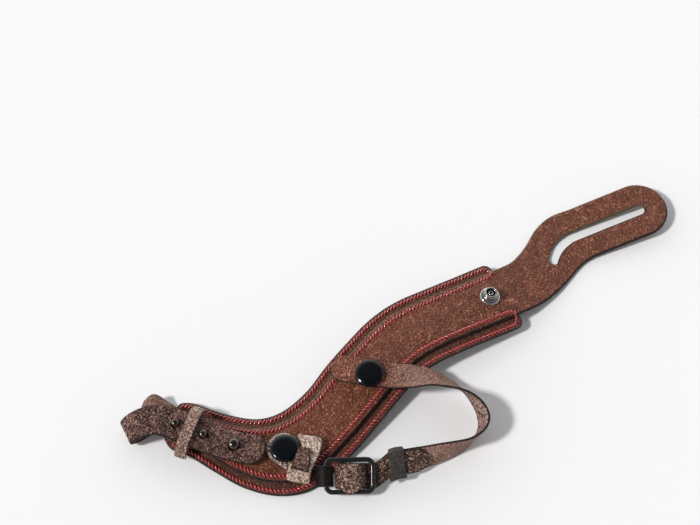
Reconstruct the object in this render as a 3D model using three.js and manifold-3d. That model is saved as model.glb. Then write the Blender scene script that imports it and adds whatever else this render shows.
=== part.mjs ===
// Camera hand strap: a padded leather strap with a slotted tongue at one end, a lug strip on
// ball studs at the other, and a wrist strap fastened with a slide buckle.  It lies on a table
// at z = 0, +X runs along the tripod slot, +Z is up.  Millimetres.
import * as THREE from 'three';
import { mergeVertices } from 'three/addons/utils/BufferGeometryUtils.js';
import Module from 'manifold-3d';

const wasm = await Module();
wasm.setup();

// ---------------------------------------------------------------- driving sizes
const MIDDLE = { x: 1.43, y: 2.345 };   // brings the middle of the whole onto the origin
const GAP = 0.3;                        // air between neighbouring pieces
const PAD_THICK = 1.8;
const PAD_CORNER_R = 4;
const PAD_TIP_R = 6;
const BORDER = 5.6;                     // lower pad that shows beside the band
const BAND_THICK = 2.0;
const BAND_TIP_R = 4;                   // hidden end under the lug strip
const BAND_CROWN = { rise: 1.2, from: -126, full: -98, until: 34, to: 52 };
const PADDLE_R = 14.3;                  // round end of the tongue
const SLOT = { width: 5.0, endX: 125.5, y: 32.9 };   // takes a captive 1/4 inch tripod screw
const LUG = { thick: 1.6, half: 7.4, tipR: 7 };
const WRIST = { thick: 1.1, half: 6.25, startR: 6, tipR: 5.2, tailLift: 1.45 };
const TAIL_ROWS_BACK = [1, 2, 3.15];    // the tail's rows, counted back from the wrist loop's end
const TAB = { thick: 1.4, half: 7.6, roundR: 7.2, cornerR: 3 };
const PLATE = { thick: 1.6, half: 5.0, cornerR: 1.8 };
const STEM = { thick: 1.2, half: 3.5, cornerR: 0.8 };
const ANCHOR = { thick: 1.0, half: 4.6 };
const BUCKLE = { length: 23, width: 16.4, bar: 2.2, thick: 2.0, cornerR: 4, middleBar: 1.8 };
const LUG_KEEPER = { x: -115.1, y: 5.2, along: 48, half: 2.9, thick: 1.2, cornerR: 0.8 };
// rows before the wrist loop's end, wall, and the inner half width
const ELASTIC = { from: -1.74, to: -0.84, wall: 0.7, half: 6.05 };
const CAP_R = 6.5;
const SLOT_CUT_DEPTH = 40;
const STUD_HOLE = { r: 1.5, depth: 12, rise: 3 };   // stays clear of the leather below
const SIDES = { cap: 24, socket: 20, stud: 16 };

// ---------------------------------------------------------------- sections
// x, y     middle of the section
// rise     height of the underside, or of the middle on the thin wrist strap
// edge     compass direction from the right edge to the left edge, degrees
// bank     how far the left edge is lifted, degrees
// half     half of the width, or its share of the strip's own half width
const PAD_ROWS = [
  [-122.6,  15.9, 2.7,  43, 0,  7.8],
  [-119.6,  12.0, 2.5,  59, 0, 11.4],
  [-113.7,   7.7, 2.1,  66, 0, 13.0],
  [-106.4,  -0.7, 1.0,  72, 0, 15.1],
  [ -97.5,  -9.7, 0.0,  75, 0, 17.3],
  [ -87.5, -16.6, 0.0,  83, 0, 19.2],
  [ -76.8, -19.1, 0.0,  92, 0, 20.0],
  [ -65.5, -16.6, 0.4, 101, 0, 18.9],
  [ -53.0, -11.6, 2.0, 106, 0, 18.3],
  [ -39.5,  -4.1, 3.8, 110, 0, 18.5],
  [ -26.0,   3.0, 5.4, 109, 0, 18.4],
  [ -14.0,   8.7, 6.3, 106, 0, 18.3],
  [  -2.5,  11.7, 6.6,  98, 0, 18.4],
  [  11.7,  13.0, 6.1,  93, 0, 18.2],
  [  29.0,  14.3, 4.5,  92, 0, 18.3],
  [  46.0,  15.5, 3.2,  93, 0, 18.5],
];
const TONGUE_ROWS = [
  [  57.0,  17.7, 2.1, 100, 0, 13.0],
  [  65.5,  21.0, 0.8, 108, 0, 13.3],
  [  73.2,  25.4, 0.1, 113, 0, 13.7],
  [  80.8,  30.3, 0.0, 113, 0, 14.5],
  [  88.5,  32.9, 0.4, 107, 0, 14.9],
  [  98.0,  33.0, 1.0,  98, 0, 14.3],
  [ 110.0,  33.0, 1.75, 90, 0, 14.3],
  [ 124.4,  33.0, 2.65, 90, 0, 14.4],
  [ 138.8,  33.0, 3.55, 90, 0, 14.4],
];
// x, y along the middle of the slot, from its turned-up inner end
const SLOT_LINE = [
  [75.8, 25.2], [78.4, 28.0], [82.0, 30.6], [86.5, 32.3], [92.0, SLOT.y], [SLOT.endX, SLOT.y],
];
// from the round tip over the studs, round the open loop and back under the pad
const LUG_ROWS = [
  [ -87.6, -17.2, 7.6,  -128,   0, 1.00],
  [ -99.5,  -9.2, 7.2,  -128,   0, 1.00],
  [-110.4,   0.5, 8.0,  -131,   0, 1.00],
  [-118.6,   8.6, 8.8,  -131,   0, 1.00],
  [-123.2,  12.6, 9.4,  -121,   0, 1.00],
  [-128.0,  15.2, 9.8,  -107,   0, 0.98],
  [-133.0,  16.6, 9.0,   -97,   0, 0.94],
  [-137.9,  17.1, 7.0,   -90,   0, 0.88],
  [-140.4,  17.0, 4.7,   -86,   0, 0.82],
  [-138.4,  17.8, 2.5,   -90,  -4, 0.80],
  [-134.0,  18.4, 3.0,   -98,  -8, 0.84],
  [-130.6,  20.6, 4.1,  -104, -16, 1.12],
  [-126.0,  20.9, 4.6,  -108, -18, 1.20],
  [-121.6,  17.6, 2.5,  -117,  -5, 1.04],
  [-118.6,  14.4, 1.75, -128,   0, 0.88],
  [-113.4,   9.4, 1.7,  -132,   0, 0.86],
];
// from the round end under the upper snap round the wrist loop to the buckle
const WRIST_ROWS = [
  [-45.1,  10.2,  8.5,   57,    1, 1.04],
  [-38.0,   5.0, 10.5,   57,    3, 1.07],
  [-30.7,  -0.3, 11.6,   60,    5, 1.06],
  [-22.6,  -5.6, 11.9,   62,    3, 1.02],
  [-14.2,  -9.7, 12.1,   61,   -6, 1.00],
  [ -6.3, -13.3, 11.6,   59,  -28, 1.00],
  [ -1.9, -16.5, 10.6,   53,  -42, 1.00],
  [  2.5, -20.5,  9.4,   41,  -56, 1.00],
  [  6.7, -26.1,  8.0,   25,  -78, 1.00],
  [  9.1, -33.5,  7.0,    5,  -98, 1.00],
  [  8.3, -40.2,  6.5,  -23, -110, 1.00],
  [  4.4, -44.6,  6.4,  -55, -108, 1.00],
  [ -2.1, -47.0,  6.4,  -83,  -98, 1.00],
  [ -9.2, -47.4,  6.4,  -97,  -82, 1.00],
  [-16.2, -46.8,  6.4, -101,  -70, 0.99],
  [-23.2, -45.9,  6.4, -103,  -60, 0.96],
  [-30.7, -44.8,  6.9, -105,  -47, 0.92],
  [-38.0, -43.2,  6.8, -106,  -42, 0.90],
];
const TAB_ROWS = [
  [-83.6, -11.8, 5.7, 33, 0, 1],
  [-79.3, -18.7, 5.8, 33, 0, 1],
  [-74.4, -26.4, 5.8, 33, 0, 1],
];
// narrower beside the lower cap
const PLATE_ROWS = [
  [-79.6, -35.5, 6.1, 147, 0, 1.06],
  [-76.5, -30.7, 7.9, 147, 0, 1.03],
  [-71.2, -26.9, 8.0, 147, 0, 0.84],
  [-68.0, -22.7, 7.9, 147, 0, 0.90],
  [-66.9, -17.6, 7.9, 147, 0, 1.18],
];
const STEM_ROWS = [
  [-77.5, -31.8, 9.6, 140, 0, 1.20],
  [-74.0, -27.2, 9.8, 144, 0, 1.02],
  [-71.3, -22.8, 9.8, 147, 0, 0.74],
];
// distance from the middle of the lug keeper, height of its underside
const LUG_KEEPER_ARCH = [
  [-11.5, 4.5], [-11.0, 5.7], [-9.9, 9.0], [-7.2, 11.2], [0, 11.4],
  [7.2, 11.2], [10.3, 9.1], [11.8, 5.7], [12.5, 4.5],
];
// seats: x, y, height, compass direction of the lean, lean in degrees
const CAP_UPPER_SEAT = [-31.2, -1.6, 12.5, 208, 5.9];
const CAP_LOWER_SEAT = [-79.2, -18.9, 7.55, 0, 0];
const SOCKET_SEAT = [36.8, 14.9, 9.65, 0, 5.5];
const STUD_SEATS = [
  [-120.0, 10.0, 7.4, 0, 0],
  [-110.4,  0.5, 6.7, 0, 0],
  [ -99.5, -9.2, 6.0, 0, 0],
];
// the buckle's middle, and its turn about its own length, its width and the vertical
const BUCKLE_SEAT = new THREE.Vector3(-57.6, -41.7, 7.4);
const BUCKLE_TURN = { lean: 20, pitch: 3, along: -20.4 };
// distance along the buckle, height over its middle plane, shift to its far side, share of the
// width: the strap under the right bar, round the middle bar and back
const THREAD_LINE = [
  [11.5, -3.6, 0, 0.88], [5.0, -3.6, 0, 0.88], [0.0, -3.5, 0, 0.88], [-3.6, -3.0, 0, 0.88],
  [-5.6, -1.6, 0, 0.88], [-5.9, 0.2, 0, 0.88], [-4.9, 1.9, -0.1, 0.88], [-3.4, 2.55, -0.8, 0.98],
  [-1.0, 2.7, -1.4, 1.10], [1.6, 2.7, -1.3, 1.08], [3.5, 2.55, -0.7, 0.97], [4.8, 2.0, -0.1, 0.88],
  [6.0, 0.6, 0, 0.88], [7.3, -1.1, 0, 0.88], [9.0, -2.0, 0, 0.88], [11.5, -2.1, 0, 0.88],
];
// the same for the anchor loop, from the pad round the left bar and back
const ANCHOR_LINE = [
  [-14.4, -3.3, 0.2, 1.06], [-13.2, -2.9, 0.1, 1.03], [-11.6, -2.3, 0, 1], [-10.3, -2.1, 0, 1],
  [-8.2, -1.4, 0, 1], [-7.7, 0, 0, 1], [-8.2, 1.4, 0, 1], [-10.3, 2.1, 0, 1],
  [-12.3, 1.6, 0, 1], [-13.6, -0.4, 0.1, 1.03], [-14.4, -1.9, 0.2, 1.06],
];
// turned profiles: radius, height
const CAP_PROFILE = [
  [0, 0], [CAP_R - 0.8, 0], [CAP_R, 0.6], [CAP_R - 0.1, 1.3],
  [CAP_R - 1.2, 2.2], [CAP_R - 3.2, 2.8], [0, 3.1],
];
const STUD_FOOT = [[0, 0], [2.6, 0], [2.6, 0.6], [1.05, 0.8], [1.05, 3.4]];
// the ball in shares of its radius, over the foot
const STUD_BALL = [[0.81, 0.13], [1, 0.5], [0.9, 0.88], [0.52, 1.18], [0, 1.27]];
const STUD_BALL_R = [1.9, 1.9, 2.65];
const SOCKET_PROFILE = [
  [0, 0], [4.5, 0], [4.6, 0.5], [4.2, 0.9], [3.3, 1.1], [3.2, 3.4], [2.9, 3.8], [2.3, 3.8], [2.1, 3.3],
  [2.1, 1.5], [1.3, 1.4], [1.3, 3.3], [0.8, 3.4], [0.7, 1.2], [0, 1.2],
];

// ---------------------------------------------------------------- finishes
const FINISHES = {
  grain: { color: 0x7a4636, roughness: 0.6, metalness: 0 },
  pad: { color: 0x6c4030, roughness: 0.65, metalness: 0 },
  suede: { color: 0x7d625a, roughness: 0.9, metalness: 0 },
  enamel: { color: 0x101216, roughness: 0.25, metalness: 0.3 },
  steel: { color: 0x8a8a88, roughness: 0.3, metalness: 1 },
  gunmetal: { color: 0x2c2a2a, roughness: 0.35, metalness: 1 },
  elastic: { color: 0x3a3836, roughness: 0.8, metalness: 0 },
  plastic: { color: 0x18181a, roughness: 0.4, metalness: 0 },
};
const group = new THREE.Group();
group.name = 'camera_hand_strap';
group.position.set(MIDDLE.x, MIDDLE.y, 0);

function add(name, geometry, finish) {
  geometry.computeVertexNormals();
  const material = new THREE.MeshStandardMaterial({ name: `${name}_${finish}`, ...FINISHES[finish] });
  const mesh = new THREE.Mesh(geometry, material);
  mesh.name = name;
  group.add(mesh);
  return mesh;
}

// ---------------------------------------------------------------- strips of leather
const rad = THREE.MathUtils.degToRad;

function catmullRom(before, from, to, after, t) {
  const slope = (to - before) * t;
  const bend = (2 * before - 5 * from + 4 * to - after) * t * t;
  const twist = (3 * from - before - 3 * to + after) * t * t * t;
  return 0.5 * (2 * from + slope + bend + twist);
}

// smooth row between two rows of a table; s counts rows
function between(rows, s) {
  const last = rows.length - 1;
  const i = Math.min(Math.max(Math.floor(s), 0), last - 1);
  const ahead = rows[i].map((v, c) => 2 * v - rows[i + 1][c]);
  const beyond = rows[i + 1].map((v, c) => 2 * v - rows[i][c]);
  const before = i > 0 ? rows[i - 1] : ahead;
  const after = i + 2 <= last ? rows[i + 2] : beyond;
  return rows[i].map((v, c) => catmullRom(before[c], v, rows[i + 1][c], after[c], s - i));
}

// middle, travel, left edge, upper face and half width of one section; none lies below the table
function frameAt(rows, s) {
  const reach = 0.04;
  const [x, y, z, edge, bank, half] = between(rows, s);
  const behind = new THREE.Vector3(...between(rows, Math.max(s - reach, 0)));
  const ahead = new THREE.Vector3(...between(rows, Math.min(s + reach, rows.length - 1)));
  const travel = ahead.sub(behind).normalize();
  const flat = Math.cos(rad(bank));
  const left = new THREE.Vector3(Math.cos(rad(edge)) * flat, Math.sin(rad(edge)) * flat, Math.sin(rad(bank)));
  const up = travel.clone().cross(left).normalize();
  return { at: new THREE.Vector3(x, y, Math.max(z, 0)), left, up, half };
}

// length of a strip, and the row that lies at a distance along it
function measured(rows) {
  const fine = 24;
  const count = (rows.length - 1) * fine;
  const marks = [0];
  let here = new THREE.Vector3(...rows[0]);
  for (let k = 1; k <= count; k++) {
    const next = new THREE.Vector3(...between(rows, k / fine));
    marks.push(marks[k - 1] + next.distanceTo(here));
    here = next;
  }
  const rowAt = d => {
    const found = marks.findIndex(mark => mark >= d);
    const k = found < 1 ? (found < 0 ? count : 1) : found;
    return Math.min((k - 1 + (d - marks[k - 1]) / (marks[k] - marks[k - 1])) / fine, rows.length - 1);
  };
  return { total: marks[count], rowAt };
}

// distances of the sections: even steps, closer together where an end is round
function sectionDistances(total, step, startR, endR) {
  const quarter = [0, 12, 26, 42, 60, 78].map(a => 1 - Math.cos(rad(a)));
  const straight = total - startR - endR;
  const count = Math.max(2, Math.round(straight / step));
  const list = [];
  if (startR) quarter.forEach(q => list.push(startR * q));
  for (let k = 0; k <= count; k++) list.push(startR + straight * k / count);
  if (endR) quarter.forEach(q => list.push(total - endR * q));
  return list.sort((a, b) => a - b);
}

// half width at a distance from an end with round corners of radius r
function rounded(half, d, r) {
  if (!r || d >= r) return half;
  const least = 0.45;
  return Math.max(half - r + Math.sqrt(Math.max(r * r - (r - d) ** 2, 0)), least);
}

// closed skin over equal rings of points: a ring of rings, or a bar with both ends capped
function skin(rings, round) {
  const size = rings[0].length;
  const index = [];
  const quad = (a, b, c, d) => index.push(a, b, c, a, c, d);
  const joins = round ? rings.length : rings.length - 1;
  for (let r = 0; r < joins; r++) {
    const here = r * size;
    const next = ((r + 1) % rings.length) * size;
    for (let k = 0; k < size; k++) quad(here + k, here + (k + 1) % size, next + (k + 1) % size, next + k);
  }
  const end = (rings.length - 1) * size;
  for (let k = 0; !round && k < size / 2 - 1; k++) {
    const under = size - 1 - k;
    quad(k, under, under - 1, k + 1);
    quad(end + k, end + k + 1, end + under - 1, end + under);
  }
  const geometry = new THREE.BufferGeometry().setFromPoints(rings.flat());
  return geometry.setIndex(index);
}

// strip of leather through a table: faces at low and high over its line, upper one crowned
function strip(rows, options) {
  const { half = 1, low = 0, high, crown = () => 0, across = 4, step = 3, startR = 0, endR = 0 } = options;
  const { total, rowAt } = measured(rows);
  const rings = sectionDistances(total, step, startR, endR).map(d => {
    const { at, left, up, half: share } = frameAt(rows, rowAt(d));
    const full = share * half;
    const width = Math.min(rounded(full, d, startR), rounded(full, total - d, endR));
    const top = [];
    const bottom = [];
    for (let j = 0; j <= across; j++) {
      const side = width * (1 - 2 * j / across);
      const point = at.clone().addScaledVector(left, side);
      const swell = crown(at.x) * (1 - (side / full) ** 2);
      top.push(point.clone().addScaledVector(up, high + swell));
      bottom.unshift(point.clone().addScaledVector(up, low));
    }
    return [...top, ...bottom];
  });
  return skin(rings, false);
}

// ---------------------------------------------------------------- cutting and turning
function solidOf(geometry) {
  geometry.deleteAttribute('uv');
  geometry.deleteAttribute('normal');
  const merged = mergeVertices(geometry, 1e-4);
  const vertProperties = Float32Array.from(merged.attributes.position.array);
  const triVerts = Uint32Array.from(merged.index.array);
  return new wasm.Manifold(new wasm.Mesh({ numProp: 3, vertProperties, triVerts }));
}

function geometryOf(solid) {
  const { vertProperties, triVerts } = solid.getMesh();
  const geometry = new THREE.BufferGeometry();
  geometry.setAttribute('position', new THREE.BufferAttribute(vertProperties, 3));
  return geometry.setIndex(new THREE.BufferAttribute(triVerts, 1));
}

// upright cutter with round ends, along a line of x, y points
function slotCutter(points, width, depth) {
  const curve = new THREE.CatmullRomCurve3(points.map(([x, y]) => new THREE.Vector3(x, y, 0)));
  const steps = 24;
  const capSteps = 8;
  const offset = (t, angle) => {
    const direction = curve.getTangentAt(t);
    const turn = Math.atan2(direction.y, direction.x) + angle;
    const reach = new THREE.Vector3(Math.cos(turn), Math.sin(turn), 0).multiplyScalar(width / 2);
    const { x, y } = curve.getPointAt(t).add(reach);
    return new THREE.Vector2(x, y);
  };
  const outline = [];
  for (let k = 0; k <= steps; k++) outline.push(offset(k / steps, -Math.PI / 2));
  for (let k = 1; k < capSteps; k++) outline.push(offset(1, -Math.PI / 2 + Math.PI * k / capSteps));
  for (let k = steps; k >= 0; k--) outline.push(offset(k / steps, Math.PI / 2));
  for (let k = 1; k < capSteps; k++) outline.push(offset(0, Math.PI / 2 + Math.PI * k / capSteps));
  const cutter = new THREE.ExtrudeGeometry(new THREE.Shape(outline), { depth, bevelEnabled: false });
  return cutter.translate(0, 0, -depth / 2);
}

function turned(name, profile, seat, finish, sides) {
  const [x, y, z, toward, lean] = seat;
  const geometry = new THREE.LatheGeometry(profile.map(([r, h]) => new THREE.Vector2(r, h)), sides);
  geometry.rotateX(Math.PI / 2);
  const mesh = add(name, geometry, finish);
  const axis = new THREE.Vector3(-Math.sin(rad(toward)), Math.cos(rad(toward)), 0);
  mesh.position.set(x, y, z);
  mesh.quaternion.setFromAxisAngle(axis, rad(lean));
}

// ---------------------------------------------------------------- pad and band
add('base_pad', strip(PAD_ROWS, {
  high: PAD_THICK, across: 6, step: 5, startR: PAD_TIP_R, endR: PAD_CORNER_R,
}), 'pad');

// the band follows the pad inside its border, padded along the hand and flat in the tongue
const bandRows = PAD_ROWS.slice(1).map(([x, y, rise, edge, bank, half]) => (
  [x, y, rise + PAD_THICK + GAP, edge, bank, half - BORDER]
));
const padding = x => BAND_CROWN.rise
  * THREE.MathUtils.clamp((BAND_CROWN.to - x) / (BAND_CROWN.to - BAND_CROWN.until), 0, 1)
  * THREE.MathUtils.clamp((x - BAND_CROWN.from) / (BAND_CROWN.full - BAND_CROWN.from), 0, 1);
const band = solidOf(strip([...bandRows, ...TONGUE_ROWS], {
  high: BAND_THICK, crown: padding, across: 6, step: 4, startR: BAND_TIP_R, endR: PADDLE_R,
}));
const slot = solidOf(slotCutter(SLOT_LINE, SLOT.width, SLOT_CUT_DEPTH));
add('centre_band', geometryOf(band.subtract(slot)), 'grain');

// ---------------------------------------------------------------- lug strip, studs and keeper
let lug = solidOf(strip(LUG_ROWS, { half: LUG.half, high: LUG.thick, across: 3, startR: LUG.tipR }));
STUD_SEATS.forEach(([x, y, z]) => {
  const drill = new THREE.CylinderGeometry(STUD_HOLE.r, STUD_HOLE.r, STUD_HOLE.depth, SIDES.stud);
  drill.rotateX(Math.PI / 2);
  drill.translate(x, y, z + STUD_HOLE.rise);
  lug = lug.subtract(solidOf(drill));
});
add('lug_strip', geometryOf(lug), 'suede');
STUD_SEATS.forEach((seat, i) => {
  const footTop = STUD_FOOT[STUD_FOOT.length - 1][1];
  const ball = STUD_BALL.map(([r, h]) => [r * STUD_BALL_R[i], footTop + h * STUD_BALL_R[i]]);
  turned(`stud_${i + 1}`, [...STUD_FOOT, ...ball], seat, 'gunmetal', SIDES.stud);
});

const keeperTurn = rad(LUG_KEEPER.along);
const keeperRows = LUG_KEEPER_ARCH.map(([d, z]) => [
  LUG_KEEPER.x + d * Math.cos(keeperTurn),
  LUG_KEEPER.y + d * Math.sin(keeperTurn),
  z, LUG_KEEPER.along + 90, 0, 1,
]);
add('lug_keeper', strip(keeperRows, {
  half: LUG_KEEPER.half, high: LUG_KEEPER.thick, across: 2, step: 1.6,
  startR: LUG_KEEPER.cornerR, endR: LUG_KEEPER.cornerR,
}), 'grain');

// ---------------------------------------------------------------- snaps, the lower tab and its plate
turned('snap_cap_upper', CAP_PROFILE, CAP_UPPER_SEAT, 'enamel', SIDES.cap);
turned('snap_cap_lower', CAP_PROFILE, CAP_LOWER_SEAT, 'enamel', SIDES.cap);
turned('snap_socket', SOCKET_PROFILE, SOCKET_SEAT, 'steel', SIDES.socket);
add('snap_tab', strip(TAB_ROWS, {
  half: TAB.half, high: TAB.thick, across: 3, startR: TAB.roundR, endR: TAB.cornerR,
}), 'grain');
add('anchor_plate', strip(PLATE_ROWS, {
  half: PLATE.half, high: PLATE.thick, across: 3, startR: PLATE.cornerR, endR: PLATE.cornerR,
}), 'suede');
add('anchor_stem', strip(STEM_ROWS, {
  half: STEM.half, high: STEM.thick, across: 2, startR: STEM.cornerR, endR: STEM.cornerR,
}), 'suede');

// ---------------------------------------------------------------- buckle and wrist strap
const { lean, pitch, along } = BUCKLE_TURN;
const buckleEuler = new THREE.Euler(rad(lean), rad(pitch), rad(along), 'ZYX');
const buckleRow = ([u, n, w, share]) => {
  const { x, y, z } = new THREE.Vector3(u, w, n).applyEuler(buckleEuler).add(BUCKLE_SEAT);
  return [x, y, z, along - 90, -lean, share];
};

// one strap: round the wrist, round the middle bar and back over itself as the tail
const loopRows = [...WRIST_ROWS, ...THREAD_LINE.map(buckleRow)];
const tailRows = TAIL_ROWS_BACK.map(back => {
  const row = WRIST_ROWS.length - back;
  const { at, up } = frameAt(loopRows, row);
  at.addScaledVector(up, WRIST.tailLift);
  return [at.x, at.y, at.z, ...between(loopRows, row).slice(3)];
});
add('wrist_strap', strip([...loopRows, ...tailRows], {
  half: WRIST.half, low: -WRIST.thick / 2, high: WRIST.thick / 2, across: 2, step: 2.2,
  startR: WRIST.startR, endR: WRIST.tipR,
}), 'suede');
add('anchor_loop', strip(ANCHOR_LINE.map(buckleRow), {
  half: ANCHOR.half, low: -ANCHOR.thick / 2, high: ANCHOR.thick / 2, across: 2, step: 1.4,
}), 'pad');

// rounded rectangle about the middle, drawn on a shape or a hole
function roundedRectangle(path, halfLength, halfWidth, r) {
  path.absarc(halfLength - r, halfWidth - r, r, 0, Math.PI / 2);
  path.absarc(-halfLength + r, halfWidth - r, r, Math.PI / 2, Math.PI);
  path.absarc(-halfLength + r, -halfWidth + r, r, Math.PI, 1.5 * Math.PI);
  path.absarc(halfLength - r, -halfWidth + r, r, 1.5 * Math.PI, 2 * Math.PI);
  path.closePath();
  return path;
}
const [halfLength, halfWidth] = [BUCKLE.length / 2, BUCKLE.width / 2];
const frameShape = roundedRectangle(new THREE.Shape(), halfLength, halfWidth, BUCKLE.cornerR);
frameShape.holes.push(roundedRectangle(
  new THREE.Path(), halfLength - BUCKLE.bar, halfWidth - BUCKLE.bar, BUCKLE.cornerR - BUCKLE.bar,
));
const frameSolid = { depth: BUCKLE.thick, bevelEnabled: false, curveSegments: 4 };
const frame = new THREE.ExtrudeGeometry(frameShape, frameSolid);
frame.translate(0, 0, -BUCKLE.thick / 2);
const middleBar = new THREE.BoxGeometry(BUCKLE.middleBar, BUCKLE.width - BUCKLE.bar, BUCKLE.middleBar);
const buckle = add('buckle', geometryOf(solidOf(frame).add(solidOf(middleBar))), 'plastic');
buckle.position.copy(BUCKLE_SEAT);
buckle.setRotationFromEuler(buckleEuler);

// elastic keeper: closed sleeve round the strap and its tail
const sleeveSteps = 3;
const outerRings = [];
const innerRings = [];
for (let k = 0; k <= sleeveSteps; k++) {
  const row = WRIST_ROWS.length + ELASTIC.from + (ELASTIC.to - ELASTIC.from) * k / sleeveSteps;
  const { at, left, up } = frameAt(loopRows, row);
  const ring = wall => {
    const side = ELASTIC.half + wall;
    const under = -WRIST.thick / 2 - GAP - wall;
    const over = WRIST.tailLift + WRIST.thick / 2 + GAP + wall;
    return [[side, over], [-side, over], [-side, under], [side, under]].map(([l, u]) => (
      at.clone().addScaledVector(left, l).addScaledVector(up, u)
    ));
  };
  outerRings.push(ring(ELASTIC.wall));
  innerRings.unshift(ring(0));
}
add('elastic_keeper', skin([...outerRings, ...innerRings], true), 'elastic');

export default group;
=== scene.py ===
"""Camera hand strap in brown leather, lying buckled on a pale floor.

Lengths in the tables are millimetres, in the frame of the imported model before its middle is
brought onto the origin; everything handed to Blender is in metres.
"""

import bpy
import numpy as np
from mathutils import Euler, Matrix, Vector


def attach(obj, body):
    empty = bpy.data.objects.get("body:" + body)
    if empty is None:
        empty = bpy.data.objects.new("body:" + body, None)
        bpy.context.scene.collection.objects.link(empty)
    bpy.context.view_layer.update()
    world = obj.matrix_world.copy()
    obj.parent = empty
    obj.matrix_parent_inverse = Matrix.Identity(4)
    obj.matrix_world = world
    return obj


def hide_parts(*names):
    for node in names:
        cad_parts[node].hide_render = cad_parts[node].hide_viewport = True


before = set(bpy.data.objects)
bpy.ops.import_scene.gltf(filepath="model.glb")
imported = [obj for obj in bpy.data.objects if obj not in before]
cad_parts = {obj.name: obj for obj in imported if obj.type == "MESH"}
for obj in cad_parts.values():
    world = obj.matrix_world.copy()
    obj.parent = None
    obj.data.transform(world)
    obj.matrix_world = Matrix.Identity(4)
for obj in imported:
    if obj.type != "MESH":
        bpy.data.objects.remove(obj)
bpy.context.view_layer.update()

MM = 0.001
MIDDLE = np.array([1.43, 2.345, 0.0])   # added to bring the middle of the whole onto the origin

# ------------------------------------------------------------------ driving sizes
GAP = 0.3
PAD_THICK, PAD_TIP_R, PAD_CORNER_R = 1.8, 6.0, 4.0
BORDER = 5.6                            # pad that shows beside the band
BAND_THICK, BAND_TIP_R, PADDLE_R = 2.0, 4.0, 14.3
BAND_CROWN = dict(rise=1.2, start=-126, full=-98, until=34, end=52)
SLOT_WIDTH = 5.0
SLOT_START_X, SLOT_END_X = 75.8, 125.5
LUG_THICK, LUG_HALF, LUG_TIP_R, LUG_END_R = 1.6, 7.4, 7.0, 0.4
WRIST_THICK, WRIST_HALF, WRIST_START_R, WRIST_TIP_R = 1.1, 6.25, 6.0, 5.2
TAIL_LIFT, TAIL_ROWS_BACK = 1.45, [1, 2, 3.15]
SHEEN_START, SHEEN_RUN = 22, 18           # painted sheen: past here the wrist strap's grain is drawn paler and greyer
# painted light: rows of the strap's back, in the buckle and round the turn, drawn paler where they face the
# lamp
LIT_THREAD_ROWS, LIT_TURN_ROWS = (6, 11), (7.5, 12.5)
TAB = dict(half=7.6, thick=1.4, round_r=7.2, corner_r=3.0)
PLATE = dict(half=5.0, thick=1.6, corner_r=1.8)
STEM = dict(half=3.5, thick=1.2, corner_r=0.8)
ANCHOR = dict(half=4.6, thick=1.0, corner_r=0.3)
BUCKLE = dict(length=23.0, width=16.4, bar=2.2, thick=2.0, corner=4.0, middle=1.8)
ELASTIC = dict(half=6.05, wall=0.7, corner=0.75, rows=(-1.74, -0.84))
FOLD = dict(height=1.3, width=2.0, extra=0.35, lift=0.5)
CAP_R = 6.5
SOCKET_SHADED_HOLLOW = (11, 15)                # points of its profile between which it is black, painted shade in its hollow
STUD = dict(heads=(1.9, 1.9, 2.65), neck=0.45, rise=3.4)
LUG_RETURN = 60                         # past this distance the strip runs back under the pad
THREAD_R, STITCH_PITCH, STITCH_LENGTH, STITCH_SLANT = 0.52, 1.8, 2.9, 42
OUTER_ROW, INNER_ROW = 2.1, 8.3         # seams, from the pad's edge
SEAM_START, INNER_START = 5.0, 14.0     # where the rows begin, from the pad's lower end
SEWN_END_X = 52                         # the inner row ends here, and the tongue begins

# steps of the surfaces, and the powers of their rounded sections
STEPS_PER_ROW = 24
TURN_SIDES = 72
PROFILE_STEPS = 4
SECTION_POWER, SECTION_SIDES = 3.2, 20
ELASTIC_POWER, FOLD_POWER, ELASTIC_SIDES = 6, 5, 32
STITCH_RINGS, STITCH_SIDES = 7, 8
EDGE_COLUMNS = np.array([0, 0.03, 0.1, 0.22, 0.4, 0.65, 1.0])   # from each edge of a strip

# rows of a strap: x, y, height, edge direction, bank, half width or its share
PAD_ROWS = [
    [-122.6,  15.9, 2.7,  43, 0,  7.8],
    [-119.6,  12.0, 2.5,  59, 0, 11.4],
    [-113.7,   7.7, 2.1,  66, 0, 13.0],
    [-106.4,  -0.7, 1.0,  72, 0, 15.1],
    [ -97.5,  -9.7, 0.0,  75, 0, 17.3],
    [ -87.5, -16.6, 0.0,  83, 0, 19.2],
    [ -76.8, -19.1, 0.0,  92, 0, 20.0],
    [ -65.5, -16.6, 0.4, 101, 0, 18.9],
    [ -53.0, -11.6, 2.0, 106, 0, 18.3],
    [ -39.5,  -4.1, 3.8, 110, 0, 18.5],
    [ -26.0,   3.0, 5.4, 109, 0, 18.4],
    [ -14.0,   8.7, 6.3, 106, 0, 18.3],
    [  -2.5,  11.7, 6.6,  98, 0, 18.4],
    [  11.7,  13.0, 6.1,  93, 0, 18.2],
    [  29.0,  14.3, 4.5,  92, 0, 18.3],
    [  46.0,  15.5, 3.2,  93, 0, 18.5],
]
TONGUE_ROWS = [
    [  57.0,  17.7, 2.1, 100, 0, 13.0],
    [  65.5,  21.0, 0.8, 108, 0, 13.3],
    [  73.2,  25.4, 0.1, 113, 0, 13.7],
    [  80.8,  30.3, 0.0, 113, 0, 14.5],
    [  88.5,  32.9, 0.4, 107, 0, 14.9],
    [  98.0,  33.0, 1.0,  98, 0, 14.3],
    [ 110.0,  33.0, 1.75, 90, 0, 14.3],
    [ 124.4,  33.0, 2.65, 90, 0, 14.4],
    [ 138.8,  33.0, 3.55, 90, 0, 14.4],
]
SLOT_LINE = [
    [SLOT_START_X, 25.2], [78.4, 28.0], [82.0, 30.6], [86.5, 32.3], [92.0, 32.9], [SLOT_END_X, 32.9],
]
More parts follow.
